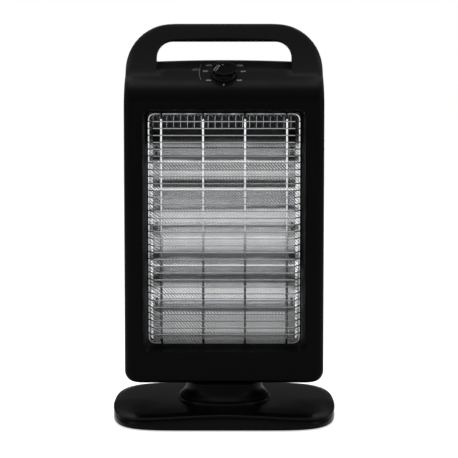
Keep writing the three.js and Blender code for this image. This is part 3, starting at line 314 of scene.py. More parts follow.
def declare(piece, material, node=None, body="head", sharp=32):
    """The piece's finish, node and body."""
    piece.data.materials.clear()
    piece.data.materials.append(material)
    piece.data.shade_smooth()
    piece.data.set_sharp_from_angle(angle=radians(sharp))
    weighted = piece.modifiers.new("even normals", "WEIGHTED_NORMAL")
    weighted.keep_sharp = True
    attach(piece, body)
    if node:
        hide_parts(node)


def evaluated_mesh(piece):
    graph = bpy.context.evaluated_depsgraph_get()
    return bpy.data.meshes.new_from_object(piece.evaluated_get(graph))


def apply_modifiers(piece):
    mesh = evaluated_mesh(piece)
    old = piece.data
    piece.modifiers.clear()
    piece.data = mesh
    bpy.data.meshes.remove(old)


def combine(piece, others, operation="DIFFERENCE"):
    """Cuts or joins solids, and takes the other solids away."""
    for other in others:
        modifier = piece.modifiers.new(operation, "BOOLEAN")
        modifier.operation = operation
        modifier.solver = "EXACT"
        modifier.object = other
    apply_modifiers(piece)
    for other in others:
        bpy.data.objects.remove(other)
    return piece


def duplicate(piece, name="copy"):
    return add_object(name, piece.data.copy())


def loft(loops, closed=False):
    """Vertices and faces of a skin over loops of equal length, capped or closed on itself."""
    count = len(loops[0])
    vertices = [point for loop in loops for point in loop]
    rows = len(loops) if closed else len(loops) - 1
    faces = []
    for i in range(rows):
        low, high = i * count, (i + 1) % len(loops) * count
        for j in range(count):
            k = (j + 1) % count
            faces.append((low + j, low + k, high + k, high + j))
    if not closed:
        faces.append(tuple(range(count)))
        faces.append(tuple(range(len(vertices) - count, len(vertices))))
    return vertices, faces


def sweep(path, radius, sides, closed=False):
    """A round wire along a path."""
    count = len(path)
    loops = []
    normal = None
    for i, point in enumerate(path):
        before = path[i - 1] if i or closed else point
        after = path[(i + 1) % count] if i + 1 < count or closed else point
        along = (after - before).normalized()
        if normal is None:
            normal = along.orthogonal().normalized()
        normal = (normal - along * normal.dot(along)).normalized()
        side = along.cross(normal)
        loops.append([point + (normal * a + side * b) * radius for a, b in circle(0, 0, 1, sides)])
    if closed:
        # The last loop is turned to meet the first one
        best = min(range(sides), key=lambda s: (loops[-1][s] - loops[0][0]).length)
        loops[-1] = loops[-1][best:] + loops[-1][:best]
    return loft(loops, closed)


def round_corners(points, radius, steps=6, closed=False):
    """A path whose corners are bent to a radius."""
    path = []
    for i, corner in enumerate(points):
        if not closed and i in (0, len(points) - 1):
            path.append(corner)
            continue
        to_before = points[i - 1] - corner
        to_after = points[(i + 1) % len(points)] - corner
        half_turn = to_before.angle(to_after) / 2
        reach = min(radius / tan(half_turn), to_before.length * 0.49, to_after.length * 0.49)
        start = corner + to_before.normalized() * reach
        end = corner + to_after.normalized() * reach
        for t in (k / steps for k in range(steps + 1)):
            path.append(start * (1 - t) ** 2 + corner * 2 * t * (1 - t) + end * t ** 2)
    return path


def arc(centre_x, centre_y, radius, start, end, steps):
    """Points of an arc in a plane, its angles in degrees."""
    angles = [radians(start + (end - start) * i / steps) for i in range(steps + 1)]
    return [(centre_x + radius * cos(a), centre_y + radius * sin(a)) for a in angles]


def circle(centre_x, centre_y, radius, sides):
    return arc(centre_x, centre_y, radius, 0, 360 - 360 / sides, sides - 1)


def rounded_outline(half, low, high, low_corner, high_corner, steps):
    """A rectangle about X = 0, with one radius at its two low corners and another at its high ones."""
    low_x, low_y = half - low_corner, low + low_corner
    high_x, high_y = half - high_corner, high - high_corner
    outline = arc(low_x, low_y, low_corner, -90, 0, steps) + arc(high_x, high_y, high_corner, 0, 90, steps)
    outline += arc(-high_x, high_y, high_corner, 90, 180, steps)
    return outline + arc(-low_x, low_y, low_corner, 180, 270, steps)


def clamp(value, high=1):
    return min(max(value, 0), high)


def smoothstep(value, low, high):
    t = clamp((value - low) / (high - low))
    return t * t * (3 - 2 * t)


def rounding(reach, radius):
    """Fall of a rounded edge, reach behind the start of its curve."""
    return radius - sqrt(radius ** 2 - clamp(reach, radius) ** 2)


def spaced(low, high, step):
    count = max(round((high - low) / step), 1)
    return [low + (high - low) * i / count for i in range(count + 1)]


def prism(outline, start, end):
    """A bar along Y, from an outline of X and Z."""
    return loft([[Vector((x, y, z)) for x, z in outline] for y in (start, end)])


# Materials

class Graph:
    """A tree of shader nodes, each made by one call."""

    def __init__(self, tree):
        self.tree = tree

    def node(self, kind, inputs, **values):
        """A node whose sockets take values or other nodes' outputs."""
        made = self.tree.nodes.new("ShaderNode" + kind)
        for key, value in values.items():
            setattr(made, key, value)
        for socket, value in inputs.items():
            if isinstance(value, bpy.types.NodeSocket):
                self.tree.links.new(value, made.inputs[socket])
            else:
                made.inputs[socket].default_value = value
        return made

    def spread(self, factor, low, high, start=0.3, end=0.7):
        """A number between low and high, as the factor goes from start to end."""
        ends = {"From Min": start, "From Max": end, "To Min": low, "To Max": high}
        return self.node("MapRange", {"Value": factor, **ends}).outputs["Result"]

    def added(self, first, second):
        return self.node("Math", {0: first, 1: second}, operation="ADD", use_clamp=True).outputs[0]

    def seen_directly(self):
        """1 where the camera, a mirror or glass shows the stage, and 0 for its light."""
        path = self.node("LightPath", {}).outputs
        mirrored = self.added(path["Is Camera Ray"], path["Is Glossy Ray"])
        return self.added(mirrored, path["Is Transmission Ray"])


class Shader(Graph):
    """A material's nodes."""

    def __init__(self, name, **sockets):
        self.material = bpy.data.materials.new(name)
        self.material.use_nodes = True
        super().__init__(self.material.node_tree)
        self.surface = self.tree.nodes["Principled BSDF"]
        for socket, value in sockets.items():
            self.surface.inputs[socket.replace("_", " ")].default_value = value
        self.place = self.node("TexCoord", {}).outputs["Object"]

    def noise(self, scale, detail, stretch=None, roughness=0.5):
        place = self.place
        if stretch:
            place = self.node("Mapping", {"Vector": place, "Scale": stretch}).outputs["Vector"]
        settings = {"Vector": place, "Scale": scale, "Detail": detail, "Roughness": roughness}
        return self.node("TexNoise", settings).outputs["Fac"]

    def source(self, given):
        """A node's output, or the noise that a tuple stands for."""
        return self.noise(*given) if isinstance(given, tuple) else given

    def cells(self, scale):
        return self.node("TexVoronoi", {"Vector": self.place, "Scale": scale}).outputs

    def along(self, axis, start, end):
        """From 0 at the start to 1 at the end."""
        split = self.node("SeparateXYZ", {"Vector": self.place})
        return self.spread(split.outputs[axis], 0, 1, start, end)

    def painted_rib_shade(self, pitch, dark):
        """From 1 on the ribs to dark between them, along the embossing's diagonals: painted shade in the
        grooves.
        """
        turns = 2 * pi / pitch
        across = self.node("VectorMath", {0: self.place, 1: (turns, 0, turns)}, operation="DOT_PRODUCT")
        wave = self.node("Math", {0: across.outputs["Value"]}, operation="SINE")
        return self.spread(wave.outputs[0], dark, 1, -1, 0)

    def shifted(self, factor, noise, reach):
        return self.added(factor, self.spread(self.source(noise), -reach / 2, reach / 2, 0.2, 0.8))

    def colours(self, factor, stops):
        ramp = self.node("ValToRGB", {"Fac": self.source(factor)})
        elements = ramp.color_ramp.elements
        for i, (place, colour) in enumerate(stops):
            stop = elements[i] if i < 2 else elements.new(place)
            stop.position = place
            stop.color = (*colour, 1)
        return ramp.outputs["Color"]

    def scaled(self, colour, factor):
        return self.node("VectorMath", {0: colour, "Scale": factor}, operation="SCALE").outputs[0]

    def finish(self, colour, gloss, rough, *layers):
        """Joins colour, gloss with its range, and bumps, each a source and a height in mm."""
        sources = {"Base Color": colour, "Roughness": self.spread(self.source(gloss), *rough)}
        below = {}
        for height, distance in layers:
            bump = self.node("Bump", {"Height": self.source(height), "Distance": distance * MM, **below})
            below = {"Normal": bump.outputs["Normal"]}
        for socket, source in {**sources, **below}.items():
            self.tree.links.new(source, self.surface.inputs[socket])
        return self.material


def tinted(stops, tint=(1, 1, 1)):
    """Stops of a shade each as stops of a colour."""
    return [(place, [shade * part for part in tint]) for place, shade in stops]


def noisy_material(name, colour, stops, gloss, rough, *layers, **sockets):
    shader = Shader(name, **sockets)
    return shader.finish(shader.colours(colour, stops), gloss, rough, *layers)


def moulded_plastic(name, colour_of, rough, grain, specular):
    """Spark-eroded grain and uneven gloss, over a colour that a function of the shader makes."""
    shader = Shader(name, Specular_IOR_Level=specular)
    return shader.finish(colour_of(shader), (60, 5), rough, ((1500, 2), grain), ((35, 2), grain * 2.5))


def flow_marks(dark, light):
    return lambda shader: shader.colours((9, 4), tinted([(0.3, dark), (0.7, light)]))


def painted_sheen(shader):
    """The shells' black with a painted sheen, lighter up the panel and handle and darker just above the
    window, and behind the handle's front painted light on the shelf in its shadow and painted shade under
    the bar.
    """
    height = shader.along("Z", PAINTED_SHEEN_LOW, PAINTED_SHEEN_HIGH)
    shades = shader.colours(shader.shifted(height, (9, 4), 0.04), tinted(PAINTED_SHEEN_SHADES))
    change = shader.spread(shader.colours(height, tinted(HANDLE_PAINTED_LIGHT_AND_SHADE)), -1, 1, 0, 1)
    behind = shader.along("Y", *HANDLE_PAINTED_START)
    scale = shader.node("Math", {0: change, 1: behind, 2: 1}, operation="MULTIPLY_ADD")
    return shader.scaled(shades, scale.outputs[0])


def chrome_material(name, shades):
    """Chromed wire whose brightness is painted lighter or darker along the guard by its shades, as painted
    reflections, with faint drawing marks.
    """
    shader = Shader(name, Metallic=1)
    place = shader.shifted(shader.along("Z", TROUGH_TOP, TROUGH_BOTTOM), (140, 3), 0.03)
    colour = shader.colours(place, tinted(shades, (1, 1.01, 1.03)))
    return shader.finish(colour, (500, 4), (0.14, 0.28), ((1800, 2), 0.01))


def aluminium_material():
    """Rolled sheet with painted reflections and painted shade, lighter and darker from fold to fold, with
    streaks, dents and a fine grain.
    """
    shader = Shader("bright aluminium", Metallic=1)
    place = shader.shifted(shader.along("Z", TROUGH_TOP, TROUGH_BOTTOM), (1, 2, (13, 2, 9)), 0.016)
    # The sheet's colour holds painted reflections and painted shade, in bands down the troughs
    shades = shader.colours(place, tinted(SHEET_PAINTED_REFLECTIONS, (0.99, 1, 1.01)))
    colour = shader.scaled(shades, shader.painted_rib_shade(EMBOSS_PITCH, EMBOSS_PAINTED_SHADE))
    dents, pebbles = (1, 2, (11, 40, 40)), shader.cells(520)["Distance"]
    return shader.finish(colour, (1, 5, (7, 240, 240), 0.6), (0.15, 0.26), (dents, 0.25), (pebbles, 0.02))


def zinc_material():
    """Zinc-plated steel with its blotchy spangle."""
    shader = Shader("zinc steel", Metallic=1)
    spangle = shader.cells(160)["Color"]
    colour = shader.colours(spangle, [(0.2, (0.5, 0.51, 0.52)), (0.8, (0.68, 0.69, 0.7))])
    return shader.finish(colour, (90, 4), (0.3, 0.5), ((700, 3), 0.02))


def glass_material():
    """Clear quartz with drawn striations along it."""
    shader = Shader("quartz glass", Transmission_Weight=1, IOR=1.46)
    striae = shader.noise(1, 3, (6, 900, 900))
    colour = shader.colours(striae, [(0.3, (0.93, 0.95, 0.97)), (0.7, (0.99, 0.99, 1))])
    return shader.finish(colour, striae, (0.01, 0.07), (striae, 0.03))


def sleeve_material():
    """Woven glass sleeve of the leads."""
    shader = Shader("lead sleeve", Specular_IOR_Level=0.2)
    settings = {"Vector": shader.place, "Scale": 900, "Distortion": 1.5}
    weave = shader.node("TexWave", settings, bands_direction="DIAGONAL").outputs["Fac"]
    colour = shader.colours(weave, [(0.2, (0.4, 0.38, 0.33)), (0.8, (0.6, 0.58, 0.52))])
    return shader.finish(colour, (300, 2), (0.7, 0.9), (weave, 0.15))


# Painted reflections and painted shade of the sheet and of the wires: their brightness in bands, from the
# troughs' top, at 0, to their bottom, at 1
SHEET_PAINTED_REFLECTIONS = [
    (0, 0.03), (0.09, 0.015), (0.115, 0.03), (0.135, 0.18), (0.155, 0.75), (0.182, 0.6), (0.192, 0.1),
    (0.206, 0.12), (0.216, 0.85), (0.262, 0.95), (0.27, 0.7), (0.293, 0.8), (0.302, 0.95), (0.41, 0.95),
    (0.423, 0.2), (0.44, 0.9), (0.485, 0.95), (0.493, 0.2), (0.507, 0.2), (0.518, 0.6), (0.552, 0.75),
    (0.562, 0.95), (0.595, 0.9), (0.622, 0.18), (0.638, 0.16), (0.652, 0.95), (0.705, 0.95),
    (0.718, 0.36), (0.765, 0.45), (0.78, 0.95), (0.85, 0.95), (0.862, 0.55),
]
# Painted reflections of the guard's wires, uprights and frame, lighter and darker along the guard
WIRE_PAINTED_REFLECTIONS = [(0, 0.32), (0.14, 0.26), (0.22, 0.18), (1, 0.14)]
UPRIGHT_PAINTED_REFLECTIONS = [(0, 1), (0.3, 0.75), (0.45, 0.6), (0.55, 0.3), (0.61, 0.1), (0.7, 0.04), (1, 0.06)]
FRAME_PAINTED_REFLECTIONS = [(0, 0.12), (0.04, 0.95), (0.5, 0.75), (0.66, 0.4), (0.95, 0.4), (0.99, 0.12)]
# Painted sheen on the shells, from low to high: lighter up the panel and handle, darker just above the
# window
PAINTED_SHEEN_LOW = 430 * MM
PAINTED_SHEEN_HIGH = 540 * MM
# Behind the handle's front: painted light on the shelf in the handle's shadow, painted shade under the bar
HANDLE_PAINTED_START = (HANDLE_FRONT + 0.2 * MM, HANDLE_FRONT + 3 * MM)
HANDLE_PAINTED_LIGHT_AND_SHADE = [
    (0, 0.5), (0.38, 0.5), (0.42, 0.95), (0.545, 0.95), (0.6, 0.5), (0.7, 0.2), (0.86, 0.2), (0.9, 0.5),
]
PAINTED_SHEEN_SHADES = [
    (0, 0.0014), (0.04, 0.0004), (0.16, 0.0006), (0.3, 0.009), (0.5, 0.0115), (0.75, 0.0085), (1, 0.0095),
]

shell_plastic = moulded_plastic("black plastic", painted_sheen, (0.33, 0.43), 0.01, 0.03)
knob_plastic = moulded_plastic("knob plastic", flow_marks(0.002, 0.003), (0.24, 0.34), 0.008, 0.045)
base_plastic = moulded_plastic("base plastic", flow_marks(0.001, 0.0014), (0.18, 0.26), 0.008, 0.045)
# The rear shell's black is painted lighter than the front's, as painted light on the shelf behind the
# handle and along the sides
rear_plastic_painted_light = moulded_plastic("rear plastic", flow_marks(0.0075, 0.0105), (0.3, 0.42), 0.015, 0.09)
inner_plastic = moulded_plastic("inner plastic", flow_marks(0.01, 0.018), (0.5, 0.65), 0.02, 0.25)
chrome = chrome_material("chromed wire", WIRE_PAINTED_REFLECTIONS)
chrome_uprights = chrome_material("chromed uprights", UPRIGHT_PAINTED_REFLECTIONS)
chrome_frame = chrome_material("chromed frame", FRAME_PAINTED_REFLECTIONS)
chrome_lips = chrome_material("slot edges", [(0, 0.5), (1, 0.6)])
aluminium = aluminium_material()
zinc = zinc_material()
glass = glass_material()
lead_sleeve = sleeve_material()
rubber = noisy_material(
    "foot rubber", (120, 4), tinted([(0.3, 0.01), (0.7, 0.02)]), (300, 3), (0.7, 0.9), ((900, 3), 0.08),
    Specular_IOR_Level=0.25)
white_plastic = noisy_material(
    "white plastic", (40, 4), [(0.3, (0.66, 0.64, 0.58)), (0.7, (0.74, 0.72, 0.67))], (150, 3),
    (0.42, 0.58), ((900, 2), 0.02), Specular_IOR_Level=0.4)
ceramic = noisy_material(
    "lamp ceramic", (70, 5), [(0.3, (0.72, 0.69, 0.62)), (0.75, (0.84, 0.82, 0.76))], (200, 3), (0.5, 0.75),
    ((900, 4), 0.05), Specular_IOR_Level=0.35)
# The heat shield's dark scaled steel
blued_steel = noisy_material(
    "blued steel", (60, 4), [(0.3, (0.05, 0.052, 0.058)), (0.7, (0.1, 0.1, 0.11))], (120, 3), (0.45, 0.65),
    ((500, 3), 0.03), Metallic=1)
filament_metal = noisy_material(
    "filament wire", (300, 2), [(0.3, (0.22, 0.21, 0.2)), (0.7, (0.42, 0.4, 0.38))], (600, 2), (0.3, 0.5),
    Metallic=1)
# Pale pad-printed marks, a little worn
print_ink = noisy_material(
    "printed marks", (900, 4), tinted([(0.25, 0.28), (0.6, 0.45)]), (500, 2), (0.5, 0.7),
    Specular_IOR_Level=0.2)


# Head shell

CREASE_Z = SLOPE_Z + (HANDLE_FRONT - SLOPE_Y) / tan(PANEL_TILT)
FILLET_Y = HANDLE_FRONT - FOOT_FILLET
FILLET_Z = CREASE_Z + FOOT_FILLET * tan(PANEL_TILT / 2)


def front_at(z, inset=0):
    """The head's front at a height: arc, slope, and a fillet up to the handle."""
    radius, fillet = PANEL_RADIUS - inset, FOOT_FILLET + inset
    rise = z - PANEL_START
    arc_rise = radius * sin(PANEL_TILT)
    if rise <= 0:
        return HEAD_FRONT + inset
    if rise < arc_rise:
        return PANEL_CENTRE_Y - sqrt(radius ** 2 - rise ** 2)
    if z < FILLET_Z - fillet * sin(PANEL_TILT):
        return PANEL_CENTRE_Y - radius * cos(PANEL_TILT) + (rise - arc_rise) * tan(PANEL_TILT)
    if z < FILLET_Z:
        return FILLET_Y + sqrt(max(fillet ** 2 - (z - FILLET_Z) ** 2, 0))
    return HANDLE_FRONT + inset


def rear_at(z, inset=0):
    lean = smoothstep(z, REAR_BEND_START, REAR_BEND_END)
    return HEAD_REAR + (HANDLE_REAR - HEAD_REAR) * lean - inset


def head_loop(z, inset, steps):
    """Outline of the head at a height, seen from above."""
    narrowing = rounding(HEAD_BOTTOM + BOTTOM_CORNER - z, BOTTOM_CORNER - inset)
    narrowing += rounding(z - (HEAD_TOP - TOP_CORNER), TOP_CORNER - inset)
    ease = rounding(END_EDGE - min(z - HEAD_BOTTOM - inset, HEAD_TOP - inset - z), END_EDGE)
    front, rear = front_at(z, inset) + ease, rear_at(z, inset) - ease
    half = HEAD_HALF - inset - narrowing
    flat = rounded_outline(half, front, rear, FRONT_EDGE - inset, REAR_EDGE - inset, steps)
    return [Vector((x, y, z)) for x, y in flat]


def head_solid(inset, steps, corner_steps, panel_steps):
    """The head's rounded block, its faces moved inwards by the inset."""
    bottom, top = HEAD_BOTTOM + inset, HEAD_TOP - inset
    heights = []
    for turn in (pi / 2 * i / corner_steps for i in range(corner_steps + 1)):
        heights.append(HEAD_BOTTOM + BOTTOM_CORNER - (BOTTOM_CORNER - inset) * sin(turn))
        heights.append(HEAD_TOP - TOP_CORNER + (TOP_CORNER - inset) * sin(turn))
        heights += [bottom + END_EDGE * (1 - cos(turn)), top - END_EDGE * (1 - cos(turn))]
    for turn in (PANEL_TILT * i / panel_steps for i in range(panel_steps + 1)):
        heights.append(PANEL_START + (PANEL_RADIUS - inset) * sin(turn))
        heights.append(FILLET_Z - (FOOT_FILLET + inset) * sin(turn))
    kept = []
    for z in sorted({round(z, 6) for z in heights}):
        if bottom <= z <= top and (not kept or z - kept[-1] > LEAST_RISE):
            kept.append(z)
    return make_piece("head", [loft([head_loop(z, inset, steps) for z in kept])])


def floor_at(x, y):
    """Height of the panel and the crowned shelf behind it."""
    if y < SLOPE_Y:
        return PANEL_START + sqrt(max(PANEL_RADIUS ** 2 - (PANEL_CENTRE_Y - y) ** 2, 0))
    crown = SHELF_CROWN * max(1 - (x / OPENING_HALF) ** 2, 0) * smoothstep(y, 0, SHELF_Y)
    slope = SLOPE_Z + (y - SLOPE_Y) / tan(PANEL_TILT)
    shelf = SHELF_Z - rounding(y - (rear_at(SHELF_Z) - SHELF_EDGE), SHELF_EDGE)
    # The edge between slope and shelf is rounded
    blend = clamp(0.5 + (shelf - slope) / (2 * SHELF_ROUND))
    level = shelf + (slope - shelf) * blend - SHELF_ROUND * blend * (1 - blend) + crown
    return level + cove_at(x, y, slope)


def cove_at(x, y, slope):
    """How far the panel sweeps up in front of the handle's columns."""
    beside = smoothstep(abs(x), OPENING_HALF - COVE_WIDTH, OPENING_HALF)
    climb = FILLET_Z - FOOT_FILLET + rounding(y - FILLET_Y, FOOT_FILLET) - slope
    fade = smoothstep(y, HANDLE_FRONT - COVE_FADE, HANDLE_FRONT + COVE_FADE / 2)
    return max(climb, 0) * beside * (1 - fade)


def flare_at(x, y, z):
    """Widening of the handle opening: bevelled in front, rounded behind, with a draft between."""
    depth, side, middle = OPENING_BEVEL["depth"], OPENING_BEVEL["side"], OPENING_BEVEL["middle"]
    share = max(1 - (x / OPENING_HALF) ** 2, 0)
    front = (side + (middle - side) * share) * clamp(depth - (y - front_at(z)), depth) / depth
    rear = rounding(OPENING_ROUND - (rear_at(z) - y), OPENING_ROUND)
    return front + rear + OPENING_DRAFT * max(y - HANDLE_FRONT - depth, 0)


def opening_loop(y, grow, lift):
    """Outline of the handle opening in the plane at y."""
    half, top, corner = OPENING_HALF + grow, OPENING_TOP + grow, OPENING_CORNER + grow
    floor = floor_at(half, y) + lift
    outline = [((half, floor + (top - corner - floor) * i / 8), (1, 0)) for i in range(8)]
    for x, z in arc(half - corner, top - corner, corner, 0, 90, 10):
        outline.append(((x, z), ((x - half + corner) / corner, (z - top + corner) / corner)))
    outline += [(((half - corner) * (1 - i / 8), top), (0, 1)) for i in range(1, 8)]
    mirrored = [((-x, z), (-nx, nz)) for (x, z), (nx, nz) in reversed(outline)]
    loop = []
    for (x, z), (nx, nz) in outline + mirrored:
        flare = flare_at(x, y, z)
        loop.append(Vector((x + nx * flare, y, z + nz * flare)))
    for x in (-half * cos(pi * i / CROWN_STEPS) for i in range(1, CROWN_STEPS)):
        loop.append(Vector((x, y, floor_at(x, y) + lift)))
    return loop


def opening_solid(grow, lift):
    """What is cut out between the handle and the panel with its shelf."""
    foot = FILLET_Y + FOOT_FILLET * cos(PANEL_TILT)
    bevel = OPENING_BEVEL["depth"]
    places = [foot + 0.2 * MM, 20 * MM, 26 * MM, HEAD_REAR + CUT]
    places += [HANDLE_FRONT + ahead for ahead in (-6 * MM, -3 * MM, 0, bevel / 2, bevel, 8 * MM)]
    places += spaced(HANDLE_FRONT + 11 * MM, SHELF_Y - 5 * MM, 2.5 * MM)
    places += [SHELF_Y + SHELF_ROUND * tan(PANEL_TILT) * i / 4 for i in range(-4, 5)]
    places += [rear_at(SHELF_Z) - SHELF_EDGE * (1 - sin(pi / 2 * i / 6)) for i in range(7)]
    return make_piece("opening", [loft([opening_loop(y, grow, lift) for y in sorted(places)])])


def window_at(y, grow):
    """The funnel's section at a depth, with a rounded lip."""
    share = clamp((y - HEAD_FRONT) / (FUNNEL_REAR - HEAD_FRONT))
    wide = grow + rounding(WINDOW_LIP - (y - HEAD_FRONT), WINDOW_LIP)
    half = WINDOW_HALF - FUNNEL_DRAFT["side"] * share + wide
    bottom = WINDOW_BOTTOM + FUNNEL_DRAFT["bottom"] * share - wide
    top = WINDOW_TOP - FUNNEL_DRAFT["top"] * share + wide
    corner = WINDOW_CORNER + (FUNNEL_CORNER - WINDOW_CORNER) * share + wide
    return [Vector((x, y, z)) for x, z in rounded_outline(half, bottom, top, corner, corner, 8)]


def window_solid(grow, front, rear, lip_steps=0):
    places = [front, rear]
    if lip_steps:
        places += [HEAD_FRONT + WINDOW_LIP * i / lip_steps for i in range(lip_steps + 1)]
    return make_piece("window", [loft([window_at(y, grow) for y in sorted(places)])])


def bosses(radius, start, end):
    """A rod along each housing screw's axis."""
    rods = []
    for low, high in (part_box(f"housing_screw_{i}") for i in range(1, 7)):
        rods.append(prism(circle((low.x + high.x) / 2, (low.z + high.z) / 2, radius, 32), start, end))
    return make_piece("bosses", rods)


def vent_solid():
    """All slots of the rear housing, with round ends."""
    slots = []
    radius = VENT_HEIGHT / 2
    half = VENT_HALF_WIDTH - radius
    for start, rows in VENT_ROWS.values():
        for x in (-VENT_COLUMN, VENT_COLUMN):
            for z in (start + row * VENT_PITCH + radius for row in range(rows)):
                outline = arc(x + half, z, radius, -90, 90, 8) + arc(x - half, z, radius, 90, 270, 8)
                slots.append(prism(outline, HEAD_REAR - WALL - CUT, HEAD_REAR + CUT))
    return make_piece("vents", slots)


def slab(start, end):
    """All of the head's space between two depths."""
    reach, top = HEAD_HALF + CUT, HEAD_TOP + CUT
    return make_piece("slab", [prism([(-reach, 0), (reach, 0), (reach, top), (-reach, top)], start, end)])


def build_shells():
    outer = head_solid(0, 10, 12, 18)
    inner = combine(head_solid(WALL, 3, 6, 8), [opening_solid(WALL, -WALL)])
    whole = combine(duplicate(outer, "rear_shell"), [opening_solid(0, OPENING_LIFT), inner])
    front_end, rear_start = PARTING - PARTING_GAP / 2, PARTING + PARTING_GAP / 2
    front = combine(duplicate(whole, "front_shell"), [slab(HEAD_FRONT - CUT, front_end)], "INTERSECT")
    rear = combine(whole, [slab(rear_start, HEAD_REAR + CUT)], "INTERSECT")
    combine(front, [window_solid(FUNNEL_WALL / 2, HEAD_FRONT - CUT, 0)])
    combine(front, [window_solid(FUNNEL_WALL, HEAD_FRONT + FUNNEL_START, FUNNEL_REAR)], "UNION")
    combine(front, [window_solid(0, HEAD_FRONT - CUT, FUNNEL_REAR + CUT, 5)])
    combine(front, [bosses(SCREW_BOSS, PARTING - SCREW_BOSS_LENGTH, front_end)], "UNION")
    combine(rear, [combine(bosses(SCREW_BOSS, rear_start, HEAD_REAR), [outer], "INTERSECT")], "UNION")
    holes = bosses(SCREW_HOLE, PARTING - SCREW_HOLE_LENGTH, HEAD_REAR)
    combine(front, [duplicate(holes)])
    combine(rear, [holes, bosses(SCREW_SINK, SCREW_SEAT, HEAD_REAR + CUT), vent_solid()])
    seam = slab(PARTING - SEAM_WIDTH / 2, PARTING + SEAM_WIDTH / 2)
    combine(seam, [head_solid(SEAM_DEPTH, 6, 8, 10)])
    combine(front, [duplicate(seam)])
    combine(rear, [seam])
    declare(front, shell_plastic, "front_housing")
    declare(rear, rear_plastic_painted_light, "rear_housing")


# Guard

def build_guard():
    """Cross wires bent back to a frame rod, and uprights behind them."""
    low_corner, high_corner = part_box("wire_guard")
    x = high_corner.x - GUARD_FRAME
    low, high = low_corner.z + GUARD_FRAME, high_corner.z - GUARD_FRAME
    corners = [Vector((a, GUARD_BACK, z)) for a, z in ((-x, low), (x, low), (x, high), (-x, high))]
    frame_rod = sweep(round_corners(corners, WINDOW_CORNER, 8, closed=True), GUARD_FRAME, 16, closed=True)
    wires = []
    for z in (GUARD_TOP - i * GUARD_PITCH for i in range(GUARD_WIRES)):
        left = [
            (-x - GUARD_FRAME * 0.6, GUARD_BACK - GUARD_FRAME * 0.5),
            (-x + 1.5 * MM, GUARD_BACK - GUARD_FRAME - GUARD_WIRE),
            (-GUARD_SPAN, GUARD_FRONT),
        ]
        path = [Vector((a, y, z)) for a, y in left] + [Vector((-a, y, z)) for a, y in reversed(left)]
        wires.append(sweep(round_corners(path, GUARD_BEND, 5), GUARD_WIRE, 10))
    depth = GUARD_FRONT + GUARD_WIRE + GUARD_UPRIGHT - GUARD_SINK
    flare = (GUARD_BACK - GUARD_FRONT) / 2
    uprights = []
    for a in spaced(-GUARD_UPRIGHT_SPAN, GUARD_UPRIGHT_SPAN, 2 * GUARD_UPRIGHT_SPAN / (GUARD_UPRIGHTS - 1)):
        back = GUARD_BACK - GUARD_SINK
        places = [(back, low), (depth, low + flare), (depth, high - flare), (back, high)]
        path = round_corners([Vector((a, y, z)) for y, z in places], GUARD_BEND, 6)
        uprights.append(sweep(path, GUARD_UPRIGHT, 12))
    declare(make_piece("guard_wires", wires), chrome, "wire_guard")
    declare(make_piece("guard_uprights", uprights), chrome_uprights, "wire_guard")
    declare(make_piece("guard_frame", [frame_rod]), chrome_frame, "wire_guard")


# Reflector

def fold_depth(folds, share):
    for (before, start), (after, end) in zip(folds, folds[1:]):
        if share <= after:
            return (start + (end - start) * (share - before) / (after - before)) * MM
    return folds[-1][1] * MM


def sheet_depth(z):
    """Depth of the sheet behind its rim, its folds rounded."""
    total, samples = 0, (-1, -0.5, 0, 0.5, 1)
    for offset in samples:
        down = clamp(TROUGH_TOP - z + offset * FOLD_ROUND, TROUGHS * TROUGH_PITCH - 0.01 * MM)
        number, share = int(down / TROUGH_PITCH), down / TROUGH_PITCH % 1
        total += fold_depth(TROUGH_FOLDS if number else TOP_TROUGH_FOLDS, share)
    beyond = max(z - TROUGH_TOP, TROUGH_BOTTOM - z, 0)
    return total / len(samples) * max(1 - beyond / FLANGE_BEND, 0)


def half_width(depth):
    """The sheet narrows with its depth, because its ends slope."""
    return TROUGH_HALF - depth * END_SLOPE


def middle_line(z):
    """Across the trough, with the embossing's diagonal ribs."""
    depth = sheet_depth(z)
    half = half_width(depth)
    line = []
    for x in (half * (2 * i / SHEET_COLUMNS - 1) for i in range(SHEET_COLUMNS + 1)):
        rib = EMBOSS_HEIGHT * sin(2 * pi * (x + z) / EMBOSS_PITCH) if abs(x) < half - 1 * MM else 0
        line.append((x, depth - rib))
    return line


def vent_line(z):
    depth = sheet_depth(z)
    return [(half_width(depth) * (2 * i / 40 - 1), depth) for i in range(41)]


def end_line(z, side):
    """The sloping end wall and its flange, which is hemmed forward on the right."""
    depth = sheet_depth(z)
    hem = HEM_RISE if side > 0 and HEM_RANGE[0] < z < HEM_RANGE[1] else 0
    line = [(TROUGH_HALF + REFLECTOR_FLANGE * share, -hem * share) for share in (1, 0.5, 0)]
    line += [(half_width(depth * i / 10), depth * i / 10) for i in range(1, 11)]
    return [(side * x, d) for x, d in line]


def sheet_piece(name, heights, line_at):
    """A sheet of metal with a row of points from line_at(z) at each height."""
    rows = [line_at(z) for z in heights]
    count = len(rows[0])
    starts = [i * count + j for i in range(len(rows) - 1) for j in range(count - 1)]
    faces = [(k, k + 1, k + count + 1, k + count) for k in starts]
    points = [(x, RIM + depth, z) for z, row in zip(heights, rows) for x, depth in row]
    piece = make_piece(name, [(points, faces)])
    if sum(face.normal.y for face in piece.data.polygons) > 0:
        piece.data.flip_normals()
    thick = piece.modifiers.new("sheet", "SOLIDIFY")
    thick.thickness = SHEET
    thick.offset = -1
    apply_modifiers(piece)
    return piece


